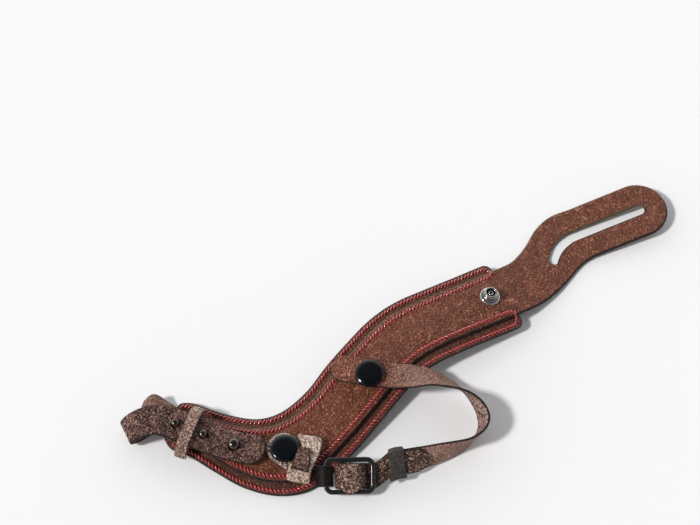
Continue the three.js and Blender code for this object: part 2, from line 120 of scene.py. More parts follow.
LUG_ROWS = [
    [ -87.6, -17.2, 7.6,  -128,   0, 1.00],
    [ -99.5,  -9.2, 7.2,  -128,   0, 1.00],
    [-110.4,   0.5, 8.0,  -131,   0, 1.00],
    [-118.6,   8.6, 8.8,  -131,   0, 1.00],
    [-123.2,  12.6, 9.4,  -121,   0, 1.00],
    [-128.0,  15.2, 9.8,  -107,   0, 0.98],
    [-133.0,  16.6, 9.0,   -97,   0, 0.94],
    [-137.9,  17.1, 7.0,   -90,   0, 0.88],
    [-140.4,  17.0, 4.7,   -86,   0, 0.82],
    [-138.4,  17.8, 2.5,   -90,  -4, 0.80],
    [-134.0,  18.4, 3.0,   -98,  -8, 0.84],
    [-130.6,  20.6, 4.1,  -104, -16, 1.12],
    [-126.0,  20.9, 4.6,  -108, -18, 1.20],
    [-121.6,  17.6, 2.5,  -117,  -5, 1.04],
    [-118.6,  14.4, 1.75, -128,   0, 0.88],
    [-113.4,   9.4, 1.7,  -132,   0, 0.86],
]
WRIST_ROWS = [
    [-45.1,  10.2,  8.5,   57,    1, 1.04],
    [-38.0,   5.0, 10.5,   57,    3, 1.07],
    [-30.7,  -0.3, 11.6,   60,    5, 1.06],
    [-22.6,  -5.6, 11.9,   62,    3, 1.02],
    [-14.2,  -9.7, 12.1,   61,   -6, 1.00],
    [ -6.3, -13.3, 11.6,   59,  -28, 1.00],
    [ -1.9, -16.5, 10.6,   53,  -42, 1.00],
    [  2.5, -20.5,  9.4,   41,  -56, 1.00],
    [  6.7, -26.1,  8.0,   25,  -78, 1.00],
    [  9.1, -33.5,  7.0,    5,  -98, 1.00],
    [  8.3, -40.2,  6.5,  -23, -110, 1.00],
    [  4.4, -44.6,  6.4,  -55, -108, 1.00],
    [ -2.1, -47.0,  6.4,  -83,  -98, 1.00],
    [ -9.2, -47.4,  6.4,  -97,  -82, 1.00],
    [-16.2, -46.8,  6.4, -101,  -70, 0.99],
    [-23.2, -45.9,  6.4, -103,  -60, 0.96],
    [-30.7, -44.8,  6.9, -105,  -47, 0.92],
    [-38.0, -43.2,  6.8, -106,  -42, 0.90],
]
TAB_ROWS = [
    [-83.6, -11.8, 5.7, 33, 0, 1],
    [-79.3, -18.7, 5.8, 33, 0, 1],
    [-74.4, -26.4, 5.8, 33, 0, 1],
]
PLATE_ROWS = [
    [-79.6, -35.5, 6.1, 147, 0, 1.06],
    [-76.5, -30.7, 7.9, 147, 0, 1.03],
    [-71.2, -26.9, 8.0, 147, 0, 0.84],
    [-68.0, -22.7, 7.9, 147, 0, 0.90],
    [-66.9, -17.6, 7.9, 147, 0, 1.18],
]
STEM_ROWS = [
    [-77.5, -31.8, 9.6, 140, 0, 1.20],
    [-74.0, -27.2, 9.8, 144, 0, 1.02],
    [-71.3, -22.8, 9.8, 147, 0, 0.74],
]
LUG_KEEPER = dict(x=-115.1, y=5.2, along=48, half=2.9, thick=1.2, corner_r=0.8)
LUG_KEEPER_ARCH = [                      # distance along, height
    [-11.5, 4.5], [-11.0, 5.7], [-9.9, 9.0], [-7.2, 11.2], [0, 11.4],
    [7.2, 11.2], [10.3, 9.1], [11.8, 5.7], [12.5, 4.5],
]
# x, y, z of a foot, the direction that its top leans to, and the lean
CAP_UPPER_SEAT = [-31.2, -1.6, 12.5, 208, 5.9]
CAP_LOWER_SEAT = [-79.2, -18.9, 7.55, 0, 0]
SOCKET_SEAT = [36.8, 14.9, 9.65, 0, 5.5]
STUD_SEATS = [
    [-120.0, 10.0, 7.4, 0, 0],
    [-110.4, 0.5, 6.7, 0, 0],
    [-99.5, -9.2, 6.0, 0, 0],
]
BUCKLE_SEAT = np.array([-57.6, -41.7, 7.4])
BUCKLE_TURN = dict(lean=20, pitch=3, along=-20.4)
# in the buckle: along it, over it, across it, share of the half width
THREAD_LINE = [
    [11.5, -3.6, 0, 0.88], [5.0, -3.6, 0, 0.88], [0.0, -3.5, 0, 0.88], [-3.6, -3.0, 0, 0.88],
    [-5.6, -1.6, 0, 0.88], [-5.9, 0.2, 0, 0.88], [-4.9, 1.9, -0.1, 0.88], [-3.4, 2.55, -0.8, 0.98],
    [-1.0, 2.7, -1.4, 1.10], [1.6, 2.7, -1.3, 1.08], [3.5, 2.55, -0.7, 0.97], [4.8, 2.0, -0.1, 0.88],
    [6.0, 0.6, 0, 0.88], [7.3, -1.1, 0, 0.88], [9.0, -2.0, 0, 0.88], [11.5, -2.1, 0, 0.88],
]
ANCHOR_LINE = [
    [-14.4, -3.3, 0.2, 1.06], [-13.2, -2.9, 0.1, 1.03], [-11.6, -2.3, 0, 1], [-10.3, -2.1, 0, 1],
    [-8.2, -1.4, 0, 1], [-7.7, 0, 0, 1], [-8.2, 1.4, 0, 1], [-10.3, 2.1, 0, 1],
    [-12.3, 1.6, 0, 1], [-13.6, -0.4, 0.1, 1.03], [-14.4, -1.9, 0.2, 1.06],
]


# ------------------------------------------------------------------ camera, light and floor
VIEW = dict(azimuth=-22.7, elevation=60.0, distance=0.788, target=(-0.01257, 0.06434, 0.0), lens=84.9)
KEY_PLACE = dict(left=0.69, near=0.23, over=0.69)
KEY_ENERGY, KEY_ANGLE, KEY_COLOR = 2.6, 9, (1.0, 0.985, 0.965)
SURROUND_SIDE, SURROUND_TOP = (1.0, 1.0, 1.02), (0.085, 0.085, 0.09)
SURROUND_FROM, SURROUND_TO = 0.1, 0.75   # heights between which the surround grows dimmer
SURROUND_STRENGTH, FAR_SIDE_SHARE, NEAR_SIDE_SHARE = 1.76, 1.7, 0.3
SURROUND_LEFT = 0.35
FLOOR_REACH = 3.0
FLOOR_COLOR = (0.9, 0.9, 0.905)


def aim(obj, target):
    """Turns an object so that its -Z looks at the target."""
    direction = Vector(target) - obj.location
    obj.rotation_euler = direction.to_track_quat("-Z", "Y").to_euler()


def make_camera():
    """Perspective camera on a sphere round the target: azimuth from -Y, elevation over the floor."""
    azimuth, elevation = np.radians(VIEW["azimuth"]), np.radians(VIEW["elevation"])
    target = np.array(VIEW["target"])
    back = np.array([
        np.sin(azimuth) * np.cos(elevation), -np.cos(azimuth) * np.cos(elevation), np.sin(elevation),
    ])
    camera = bpy.data.objects.new("camera", bpy.data.cameras.new("camera"))
    bpy.context.collection.objects.link(camera)
    camera.location = target + back * VIEW["distance"]
    camera.data.sensor_width = 36.0
    camera.data.lens = VIEW["lens"]
    camera.data.clip_start = 0.01
    aim(camera, target)
    bpy.context.scene.camera = camera
    return azimuth


def make_light(azimuth):
    """Soft key light from the left of the view, and a pale surround that is dim overhead.

    The surround's colour runs over the height of a direction, and its strength is that of the whole
    times 1 + 0.7 * (direction . away), away being from the view and a little to its left.
    """
    key = bpy.data.objects.new("key", bpy.data.lights.new("key", "SUN"))
    bpy.context.collection.objects.link(key)
    right = np.array([np.cos(azimuth), np.sin(azimuth), 0.0])
    away = np.array([-np.sin(azimuth), np.cos(azimuth), 0.0])
    up = np.array([0.0, 0.0, 1.0])
    key.location = -KEY_PLACE["left"] * right - KEY_PLACE["near"] * away + KEY_PLACE["over"] * up
    aim(key, (0.0, 0.0, 0.0))
    key.data.energy = KEY_ENERGY
    key.data.angle = np.radians(KEY_ANGLE)
    key.data.color = KEY_COLOR
    world = bpy.data.worlds.new("surround")
    bpy.context.scene.world = world
    world.use_nodes = True
    tree = world.node_tree
    direction = tree.nodes.new("ShaderNodeTexCoord").outputs["Generated"]
    split = tree.nodes.new("ShaderNodeSeparateXYZ")
    tree.links.new(direction, split.inputs[0])
    shade = ramp_node(tree, split.outputs["Z"], (SURROUND_FROM, SURROUND_SIDE), (SURROUND_TO, SURROUND_TOP))
    beyond = tree.nodes.new("ShaderNodeVectorMath")
    beyond.operation = "DOT_PRODUCT"
    beyond.inputs[1].default_value = (*(away - SURROUND_LEFT * right), )
    tree.links.new(direction, beyond.inputs[0])
    share = tree.nodes.new("ShaderNodeMapRange")
    share.inputs["From Min"].default_value = -1.0
    share.inputs["To Min"].default_value = NEAR_SIDE_SHARE
    share.inputs["To Max"].default_value = FAR_SIDE_SHARE
    tree.links.new(beyond.outputs["Value"], share.inputs["Value"])
    strength = math_node(tree, "MULTIPLY", share.outputs["Result"], SURROUND_STRENGTH)
    tree.links.new(shade, tree.nodes["Background"].inputs["Color"])
    tree.links.new(strength, tree.nodes["Background"].inputs["Strength"])


def make_floor():
    """Large pale floor at the height that the strap lies on."""
    mesh = bpy.data.meshes.new("floor")
    corners = [(x * FLOOR_REACH, y * FLOOR_REACH, 0) for x, y in ((-1, -1), (1, -1), (1, 1), (-1, 1))]
    mesh.from_pydata(corners, [], [(0, 1, 2, 3)])
    floor = bpy.data.objects.new("floor", mesh)
    bpy.context.collection.objects.link(floor)
    material = bpy.data.materials.new("floor")
    material.use_nodes = True
    shader = material.node_tree.nodes["Principled BSDF"]
    shader.inputs["Base Color"].default_value = (*FLOOR_COLOR, 1)
    shader.inputs["Roughness"].default_value = 0.6
    shader.inputs["Specular IOR Level"].default_value = 0.1
    mesh.materials.append(material)


# ------------------------------------------------------------------ straps as surfaces
def catmull_rom(rows, s):
    """Rows of a table joined by Catmull-Rom cubics, read at s rows from the first."""
    rows = np.asarray(rows, float)
    s = np.asarray(s, float)
    guarded = np.vstack([2 * rows[0] - rows[1], rows, 2 * rows[-1] - rows[-2]])
    i = np.clip(np.floor(s).astype(int), 0, len(rows) - 2)
    t = (s - i)[..., None]
    p0, p1, p2, p3 = (guarded[i + k] for k in range(4))
    return 0.5 * (
        2 * p1 + (p2 - p0) * t + (2 * p0 - 5 * p1 + 4 * p2 - p3) * t**2 + (3 * p1 - p0 - 3 * p2 + p3) * t**3
    )


class Strap:
    """A line with a frame, from rows of x, y, height, edge direction, bank and half width.

    travel is the line's direction; left = (cos edge cos bank, sin edge cos bank, sin bank); and
    up = travel x left, made one long.
    """

    def __init__(self, rows, half=1.0):
        self.rows = np.asarray(rows, float)
        self.scale = half
        self.last = len(rows) - 1
        self.fine = np.linspace(0, self.last, self.last * STEPS_PER_ROW + 1)
        line = catmull_rom(self.rows, self.fine)[:, :3]
        self.marks = np.concatenate([[0], np.cumsum(np.linalg.norm(np.diff(line, axis=0), axis=1))])
        self.length = self.marks[-1]

    def distance_of(self, row):
        """Distance along the line of a row, or of a place between two."""
        return np.interp(row, self.fine, self.marks)

    def frame(self, d):
        """Middle, left and upward directions and half width; the middle stays over the floor."""
        s = np.interp(d, self.marks, self.fine)
        reach = 0.04
        values = catmull_rom(self.rows, s)
        ahead = catmull_rom(self.rows, np.minimum(s + reach, self.last))[..., :3]
        behind = catmull_rom(self.rows, np.maximum(s - reach, 0))[..., :3]
        travel = ahead - behind
        travel /= np.linalg.norm(travel, axis=-1, keepdims=True)
        edge, bank = np.radians(values[..., 3]), np.radians(values[..., 4])
        left = np.stack([np.cos(edge) * np.cos(bank), np.sin(edge) * np.cos(bank), np.sin(bank)], axis=-1)
        up = np.cross(travel, left)
        up /= np.linalg.norm(up, axis=-1, keepdims=True)
        middle = values[..., :3].copy()
        middle[..., 2] = np.maximum(middle[..., 2], 0)
        return middle, left, up, values[..., 5] * self.scale

    def point(self, d, u, h):
        """Place at a distance d, u towards the left edge and h over the line."""
        middle, left, up, _ = self.frame(d)
        return middle + left * np.asarray(u)[..., None] + up * np.asarray(h)[..., None]


def smoothstep(x):
    """3 x^2 - 2 x^3 between 0 and 1."""
    x = np.clip(x, 0, 1)
    return x * x * (3 - 2 * x)


def noise(x, y, seed):
    """Value noise from -1 to 1: random values on a unit lattice, joined by smoothsteps."""
    size = 64
    table = np.random.default_rng(seed).uniform(-1, 1, (size, size))
    ix, iy = np.floor(x).astype(int), np.floor(y).astype(int)
    sx, sy = smoothstep(x - ix), smoothstep(y - iy)
    here, right = table[ix % size, iy % size], table[(ix + 1) % size, iy % size]
    above, across = table[ix % size, (iy + 1) % size], table[(ix + 1) % size, (iy + 1) % size]
    return (here * (1 - sx) + right * sx) * (1 - sy) + (above * (1 - sx) + across * sx) * sy


def waves(*layers):
    """Relief as a sum of layers of noise, each given as (depth, length along, length across, seed)."""
    def relief(d, u):
        return sum(depth * noise(d / along, u / across, seed) for depth, along, across, seed in layers)

    return relief


def distances(total, step, start_r, end_r):
    """Distances of a strip's rows: even steps, and close ones, 1 - cos, round the corners of both ends."""
    def closing(r):
        turn = np.linspace(0, np.pi / 2, max(int(r * 2.2 / step) + 5, 6))
        return max(r, 1.2) * (1 - np.cos(turn))

    start, end = closing(start_r), total - closing(end_r)[::-1]
    count = max(int((end[0] - start[-1]) / step), 2)
    return np.concatenate([start[:-1], np.linspace(start[-1], end[0], count + 1), end[1:]])


def rounded_half(half, d, r):
    """Half width at a distance d from an end with corners of radius r:
    half - r + sqrt(r^2 - (r - d)^2)."""
    if r <= 0:
        return half
    inside = np.clip(r - d, 0, r)
    return np.maximum(half - r + np.sqrt(r * r - inside**2), 0.02)


def edge_distance(half, u, d, r):
    """Distance to the outline near an end, that of a rectangle with corners of radius r:
    r - |(qu, qd), where positive| - min(max(qu, qd), 0), for qu = |u| - half + r and qd = r - d."""
    qu, qd = np.abs(u) - half + r, r - d
    outside = np.hypot(np.maximum(qu, 0), np.maximum(qd, 0))
    return r - outside - np.minimum(np.maximum(qu, qd), 0)


def columns(width, step):
    """Shares across a strip: even steps, with close ones at both edges to round them."""
    near = EDGE_COLUMNS / width
    near = near[near < 0.4]
    count = max(int((1 - 2 * near[-1]) * width / step), 2)
    return np.concatenate([near[:-1], np.linspace(near[-1], 1 - near[-1], count + 1), 1 - near[:-1][::-1]])


def make_object(name, points, faces, attributes=None, face_slots=None):
    """Mesh object from points in millimetres, faces, and named values on its points."""
    mesh = bpy.data.meshes.new(name)
    mesh.from_pydata(((points + MIDDLE) * MM).tolist(), [], faces)
    for key, values in (attributes or {}).items():
        kind, field = ("FLOAT_VECTOR", "vector") if values.ndim == 2 else ("FLOAT", "value")
        attribute = mesh.attributes.new(key, kind, "POINT")
        attribute.data.foreach_set(field, values.astype(np.float32).ravel())
    if face_slots is not None:
        mesh.polygons.foreach_set("material_index", face_slots)
    mesh.polygons.foreach_set("use_smooth", [True] * len(mesh.polygons))
    mesh.update()
    obj = bpy.data.objects.new(name, mesh)
    bpy.context.collection.objects.link(obj)
    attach(obj, "root")
    return obj


def quads(index):
    """Quads over a grid of point numbers: (i, j), (i, j + 1), (i + 1, j + 1), (i + 1, j)."""
    return np.stack([index[:-1, :-1], index[:-1, 1:], index[1:, 1:], index[1:, :-1]], axis=-1).reshape(-1, 4)


def mesh_of(name, points, faces, attributes, slots):
    """Joins arrays of points and quads into one object, without unused points or doubled corners."""
    points = np.concatenate(points)
    faces = np.concatenate(faces)
    slots = np.concatenate(slots)
    used, inverse = np.unique(faces, return_inverse=True)
    faces = inverse.reshape(faces.shape)
    doubled = faces == np.roll(faces, -1, axis=1)
    whole, folded = doubled.sum(axis=1) == 0, doubled.sum(axis=1) == 1
    triangles = faces[folded][~doubled[folded]].reshape(-1, 3)
    kept = np.concatenate([slots[whole], slots[folded]])
    values = {key: np.concatenate(parts)[used] for key, parts in attributes.items()}
    return make_object(name, points[used], faces[whole].tolist() + triangles.tolist(), values, kept)


def leather(name, strap, low, high, start_r=0.0, end_r=0.0, step=0.7, relief=None, crown=None, slit=None):
    """Closed strip of leather: two faces over (distance d, side u), joined round a rounded edge.

    Upper face: line + u * left + (high + crown * (1 - (u / half)^2) + relief - fall) * up; lower face:
    low + fall, where fall = R - sqrt(R^2 - (R - e)^2) for e, the distance to the outline, under
    R, half of the thickness.  slit gives the middle and half width of a lengthwise opening, which
    parts the strip into a band on either side of it.  Slot 0 is the upper face, slot 1 the lower.
    """
    d = distances(strap.length, step, start_r, end_r)
    if slit is not None:
        d = np.unique(np.concatenate([d, slit["rows"]]))
    _, _, _, half = strap.frame(d)
    width = np.minimum(rounded_half(half, d, start_r), rounded_half(half, strap.length - d, end_r))
    edge_r = (high - low) / 2
    relief_run = 1.4 * edge_r        # the relief comes up over this distance from the outline
    if slit is None:
        bands = [(width, -width)]
        opening = np.zeros_like(d)
    else:
        opening = slit["half"](d)
        middle = slit["middle"](d)
        bands = [(width, middle + opening), (middle - opening, -width)]
    points, lays, edges, faces, slots, top_index, bottom_index = ([] for _ in range(7))
    count = 0
    for b, (first, last) in enumerate(bands):
        share = columns(np.max(np.abs(first - last)), step)
        u = first[:, None] + (last - first)[:, None] * share[None, :]
        dd = np.broadcast_to(d[:, None], u.shape)
        e = np.minimum(
            edge_distance(half[:, None], u, dd, max(start_r, 1e-6)),
            edge_distance(half[:, None], u, strap.length - dd, max(end_r, 1e-6)),
        )
        if slit is not None:
            e = np.minimum(e, slit["distance"](dd, u))
        e = np.maximum(e, 0)
        e[:, 0 if b == 0 else -1] = 0        # the outline itself, whatever the rounding
        if slit is None:
            e[:, -1] = 0
        fall = edge_r - np.sqrt(np.maximum(edge_r**2 - np.clip(edge_r - e, 0, edge_r) ** 2, 0))
        raise_by = np.zeros_like(u)
        if crown is not None:
            x = strap.frame(d)[0][:, 0]
            raise_by += crown(x)[:, None] * (1 - (u / half[:, None]) ** 2)
        if relief is not None:
            raise_by += relief(dd, u) * smoothstep(e / relief_run)
        top = strap.point(dd, u, high - fall + raise_by * (e > 0))
        bottom = strap.point(dd, u, low + fall)
        index = count + np.arange(u.size).reshape(u.shape)
        under = index + u.size
        if b == 1:
            # before and after the opening, the second band shares the last column of the first
            closed = opening < 1e-6
            index[closed, 0] = top_index[0][closed, -1]
            under[closed, 0] = bottom_index[0][closed, -1]
        rim = e <= 1e-9
        under[rim] = index[rim]
        top_index.append(index)
        bottom_index.append(under)
        count += 2 * u.size
        points += [top.reshape(-1, 3), bottom.reshape(-1, 3)]
        lay = np.stack([u, dd, np.zeros_like(u)], axis=-1).reshape(-1, 3)
        lays += [lay, lay]
        edges += [e.ravel(), e.ravel()]
        upper, lower = quads(index)[:, ::-1], quads(under)
        faces += [upper, lower]
        slots += [np.zeros(len(upper), int), np.ones(len(lower), int)]
    return mesh_of(name, points, faces, dict(lay=lays, edge=edges), slots)


def small_strip(name, rows, size, low, step, relief=None):
    """Strip of leather from rows and a dict of its size, whose corners are alike."""
    line = Strap(rows, size["half"])
    return leather(
        name, line, low, low + size["thick"], size["corner_r"], size["corner_r"], step=step, relief=relief,
    )


def closed_loft(name, grid, round_along):
    """Skin over a grid of rings: each ring is closed, and so is the row of rings if round_along;
    otherwise both ends are closed by a fan onto their middle."""
    rows, size, _ = grid.shape
    index = np.arange(rows * size).reshape(rows, size)
    index = np.concatenate([index, index[:, :1]], axis=1)
    points = grid.reshape(-1, 3)
    if round_along:
        index = np.concatenate([index, index[:1]], axis=0)
    faces = quads(index).tolist()
    if not round_along:
        points = np.concatenate([points, grid[0].mean(0)[None], grid[-1].mean(0)[None]])
        hub = np.full(size, rows * size)
        faces += np.stack([index[0, 1:], index[0, :-1], hub], axis=1).tolist()
        faces += np.stack([index[-1, :-1], index[-1, 1:], hub + 1], axis=1).tolist()
    return make_object(name, points, faces)


def turned(name, profile, seat):
    """Lathe surface (r cos a, r sin a, height) of a profile of (r, height), leant over on its seat.

    The profile's first and last points lie on the axis, and are left to the fans of the loft.
    """
    radius, height = np.asarray(profile, float)[1:-1].T[..., None]
    turn = np.linspace(0, 2 * np.pi, TURN_SIDES, endpoint=False)
    grid = np.stack(np.broadcast_arrays(radius * np.cos(turn), radius * np.sin(turn), height), axis=-1)
    toward, lean = np.radians(seat[3:])
    axis = Vector((-np.sin(toward), np.cos(toward), 0))
    rotation = np.array(Matrix.Rotation(lean, 3, axis))
    return closed_loft(name, grid @ rotation.T + np.array(seat[:3]), False)


def smooth_profile(points, count):
    """Profile with rounded corners: Catmull-Rom through its points, read at count steps between two."""
    points = np.asarray(points, float)
    s = np.linspace(0, len(points) - 1, (len(points) - 1) * count + 1)
    dense = catmull_rom(points, s)
    dense[:, 0] = np.maximum(dense[:, 0], 0)
    return dense


# ------------------------------------------------------------------ stitches
def stitches(name, line, normal, slant):
    """Row of thread stitches along a line with its upward normals: arched tubes, slanted over it.

    Place on a tube: centre + s * direction + (R * (1.35 cos(pi s) - 0.55) + r sin a) * up + r cos a * across,
    where r = R * (0.62 + 0.38 cos(pi s)), so that both ends dive into the leather.
    """
    marks = np.concatenate([[0], np.cumsum(np.linalg.norm(np.diff(line, axis=0), axis=1))])
    count = int(marks[-1] / STITCH_PITCH)
    at = (np.arange(count) + 0.5) * marks[-1] / count
    beside = 0.4

    def read(values, where):
        return np.stack([np.interp(where, marks, values[:, k]) for k in range(3)], axis=-1)

    centre, up = read(line, at), read(normal, at)
    along = read(line, at + beside) - read(line, at - beside)
    along /= np.linalg.norm(along, axis=1, keepdims=True)
    up -= along * np.sum(up * along, axis=1, keepdims=True)
    up /= np.linalg.norm(up, axis=1, keepdims=True)
    side = np.cross(up, along)
    turn = np.radians(slant)
    direction = along * np.cos(turn) + side * np.sin(turn)
    across = side * np.cos(turn) - along * np.sin(turn)
    s = np.linspace(-0.5, 0.5, STITCH_RINGS)
    lift = THREAD_R * (1.35 * np.cos(np.pi * s) - 0.55)
    swell = THREAD_R * (0.62 + 0.38 * np.cos(np.pi * s))
    a = np.linspace(0, 2 * np.pi, STITCH_SIDES, endpoint=False)
    tube = (
        centre[:, None, None] + direction[:, None, None] * (s * STITCH_LENGTH)[None, :, None, None]
        + up[:, None, None] * (lift[:, None] + swell[:, None] * np.sin(a))[None, ..., None]
        + across[:, None, None] * (swell[:, None] * np.cos(a))[None, ..., None]
    )
    size = STITCH_RINGS * STITCH_SIDES
    grid = np.arange(size).reshape(STITCH_RINGS, STITCH_SIDES)
    ends = np.stack([grid[0], grid[-1, ::-1]])
    walls = quads(np.concatenate([grid, grid[:, :1]], axis=1))[:, ::-1]
    starts = np.arange(count)[:, None, None] * size
    faces = (walls + starts).reshape(-1, 4).tolist() + (ends + starts).reshape(-1, STITCH_SIDES).tolist()
    return make_object(name, tube.reshape(-1, 3), faces)


# ------------------------------------------------------------------ finishes
def new_material(name):
    """A material with its nodes, links and Principled BSDF."""
    material = bpy.data.materials.new(name)
    material.use_nodes = True
    nodes = material.node_tree.nodes
    return material, nodes, material.node_tree.links, nodes["Principled BSDF"]


def math_node(tree, operation, *values):
    """Math on values that are numbers or sockets."""
    node = tree.nodes.new("ShaderNodeMath")
    node.operation = operation
    for socket, value in zip(node.inputs, values):
        if isinstance(value, (int, float)):
            socket.default_value = value
        else:
            tree.links.new(value, socket)
    return node.outputs[0]


def step_node(tree, value, low, high):
    """Smooth step from 0 at low to 1 at high."""
    node = tree.nodes.new("ShaderNodeMapRange")
    node.interpolation_type = "SMOOTHSTEP"
    node.inputs["From Min"].default_value = low
    node.inputs["From Max"].default_value = high
    tree.links.new(value, node.inputs["Value"])
    return node.outputs["Result"]


def vector_node(tree, operation, a, b):
    """Vector math on a socket a, and a socket or tuple b."""
    node = tree.nodes.new("ShaderNodeVectorMath")
    node.operation = operation
    tree.links.new(a, node.inputs[0])
    if isinstance(b, tuple):
        node.inputs[1].default_value = b
    else:
        tree.links.new(b, node.inputs["Scale" if operation == "SCALE" else 1])
    return node.outputs[0]


def texture_node(tree, kind, vector, scale, **inputs):
    """Texture of a kind on a vector, at a scale, with its other inputs by name."""
    node = tree.nodes.new(kind)
    tree.links.new(vector, node.inputs["Vector"])
    node.inputs["Scale"].default_value = scale
    for key, value in inputs.items():
        node.inputs[key].default_value = value
    return node


def noise_value(tree, vector, scale, **inputs):
    """Cloudy noise, from about 0.3 to 0.7."""
    return texture_node(tree, "ShaderNodeTexNoise", vector, scale, **inputs).outputs["Fac"]


def cell_lines(tree, vector, scale):
    """Distance to the nearest line between the cells of a Voronoi pattern."""
    cells = texture_node(tree, "ShaderNodeTexVoronoi", vector, scale)
    cells.feature = "DISTANCE_TO_EDGE"
    return cells.outputs["Distance"]


HIDE_INPUTS = ("Pebble Size", "Crease Size", "Crease Stretch", "Crease Amount", "Pore", "Mottle", "Seed")


def make_hide_group():
    """Tumbled leather from a lay in millimetres: Height and Tone, both about 0 to 1.

    Pebbles are domes, 1 - distance to the nearest cell centre, cut by the lines between cells;
    creases are the raised lines between stretched cells, large and small ones, broken up by a noise.
    """
    group = bpy.data.node_groups.new("hide", "ShaderNodeTree")
    face = group.interface
    face.new_socket("Lay", in_out="INPUT", socket_type="NodeSocketVector")
    for label in HIDE_INPUTS:
        face.new_socket(label, in_out="INPUT", socket_type="NodeSocketFloat")
    for label in ("Height", "Tone"):
        face.new_socket(label, in_out="OUTPUT", socket_type="NodeSocketFloat")
    nodes, links = group.nodes, group.links
    inside, outside = nodes.new("NodeGroupInput"), nodes.new("NodeGroupOutput")
    amount = inside.outputs["Crease Amount"]

    # the lay, drawn out of line by a slow noise
    seed = nodes.new("ShaderNodeCombineXYZ")
    links.new(inside.outputs["Seed"], seed.inputs[2])
    lay = vector_node(group, "ADD", inside.outputs["Lay"], seed.outputs[0])
    drift = texture_node(group, "ShaderNodeTexNoise", lay, 0.5, Detail=2.0)
    drift = vector_node(group, "SUBTRACT", drift.outputs["Color"], (0.5, 0.5, 0.5))
    warped = vector_node(group, "ADD", lay, vector_node(group, "MULTIPLY", drift, (1.8, 1.8, 0.0)))

    def divided_by(size):
        return vector_node(group, "SCALE", warped, math_node(group, "DIVIDE", 1.0, inside.outputs[size]))

    # pebbles, large and small
    pebbles = divided_by("Pebble Size")
    cells = texture_node(group, "ShaderNodeTexVoronoi", pebbles, 1.0)
    dome = math_node(group, "SUBTRACT", 1.0, cells.outputs["Distance"])
    plateau = step_node(group, cell_lines(group, pebbles, 1.0), 0.0, 0.22)
    minor = step_node(group, cell_lines(group, pebbles, 2.3), 0.0, 0.2)

    # creases, and the slow swell between them
    stretch = nodes.new("ShaderNodeCombineXYZ")
    links.new(inside.outputs["Crease Stretch"], stretch.inputs[0])
    stretch.inputs[1].default_value = 1.0
    stretch.inputs[2].default_value = 1.0
    long = vector_node(group, "MULTIPLY", divided_by("Crease Size"), stretch.outputs[0])
    crease = math_node(group, "SUBTRACT", 1.0, step_node(group, cell_lines(group, long, 1.0), 0.0, 0.055))
    finer = math_node(group, "SUBTRACT", 0.6, step_node(group, cell_lines(group, long, 2.2), 0.0, 0.08))
    breaks = step_node(group, noise_value(group, lay, 0.4, Detail=2.0), 0.35, 0.62)
    crease = math_node(group, "MULTIPLY", math_node(group, "MAXIMUM", crease, finer), breaks)
    crease = math_node(group, "MULTIPLY", crease, amount)
    folds = noise_value(group, long, 1.0, Detail=2.0, Distortion=0.6)
    swell = math_node(group, "MULTIPLY", math_node(group, "SUBTRACT", folds, 0.5), amount)

    grit = noise_value(group, lay, 1.1, Detail=4.0)
    height = math_node(group, "MULTIPLY", dome, 0.45)
    for part, weight in ((plateau, 0.3), (minor, 0.12), (grit, 0.2), (crease, 0.4), (swell, 1.6)):
        height = math_node(group, "MULTIPLY_ADD", part, weight, height)
    links.new(height, outside.inputs["Height"])

    # Tone: painted shade in the hollows between pebbles, painted highlights on the raised creases, and random
    # mottle
    broad = noise_value(group, lay, 0.16, Detail=4.0)
    pore = math_node(group, "MULTIPLY", math_node(group, "SUBTRACT", plateau, 0.75), inside.outputs["Pore"])
    speck = math_node(group, "SUBTRACT", grit, 0.5)
    tone = math_node(group, "ADD", pore, 0.36)
    for part, weight in ((broad, 0.3), (speck, inside.outputs["Mottle"]), (crease, 0.34)):
        tone = math_node(group, "MULTIPLY_ADD", part, weight, tone)
    links.new(tone, outside.inputs["Tone"])
    return group


def ramp_node(tree, value, first, last, *between):
    """Colours joined by straight lines over a value; each is given as its place and colour."""
    ramp = tree.nodes.new("ShaderNodeValToRGB")
    for element, (place, color) in zip(ramp.color_ramp.elements, (first, last)):
        element.position = place
        element.color = (*color, 1)
    for place, color in between:
        ramp.color_ramp.elements.new(place).color = (*color, 1)
    tree.links.new(value, ramp.inputs["Fac"])
    return ramp.outputs["Color"]


def hide_color(tree, tone, dark, mid, light):
    """Three colours over the tone: hollows, darker as painted shade; the usual surface; ridges and crease
    lines, lighter as painted highlights.
    """
    return ramp_node(tree, tone, (0.22, dark), (0.82, light), (0.52, mid))


def mix_node(tree, factor, a, b):
    """Colour a where the factor is 0 and b where it is 1; each is a socket or a tuple."""
    mix = tree.nodes.new("ShaderNodeMix")
    mix.data_type = "RGBA"
    tree.links.new(factor, mix.inputs["Factor"])
    for socket, value in ((mix.inputs["A"], a), (mix.inputs["B"], b)):
        if isinstance(value, tuple):
            socket.default_value = (*value, 1)
        else:
            tree.links.new(value, socket)
    return mix.outputs["Result"]


def attribute_node(tree, name, output="Fac"):
    """Value, or another output, of a named attribute of the mesh."""
    node = tree.nodes.new("ShaderNodeAttribute")
    node.attribute_name = name
    return node.outputs[output]


hide = make_hide_group()


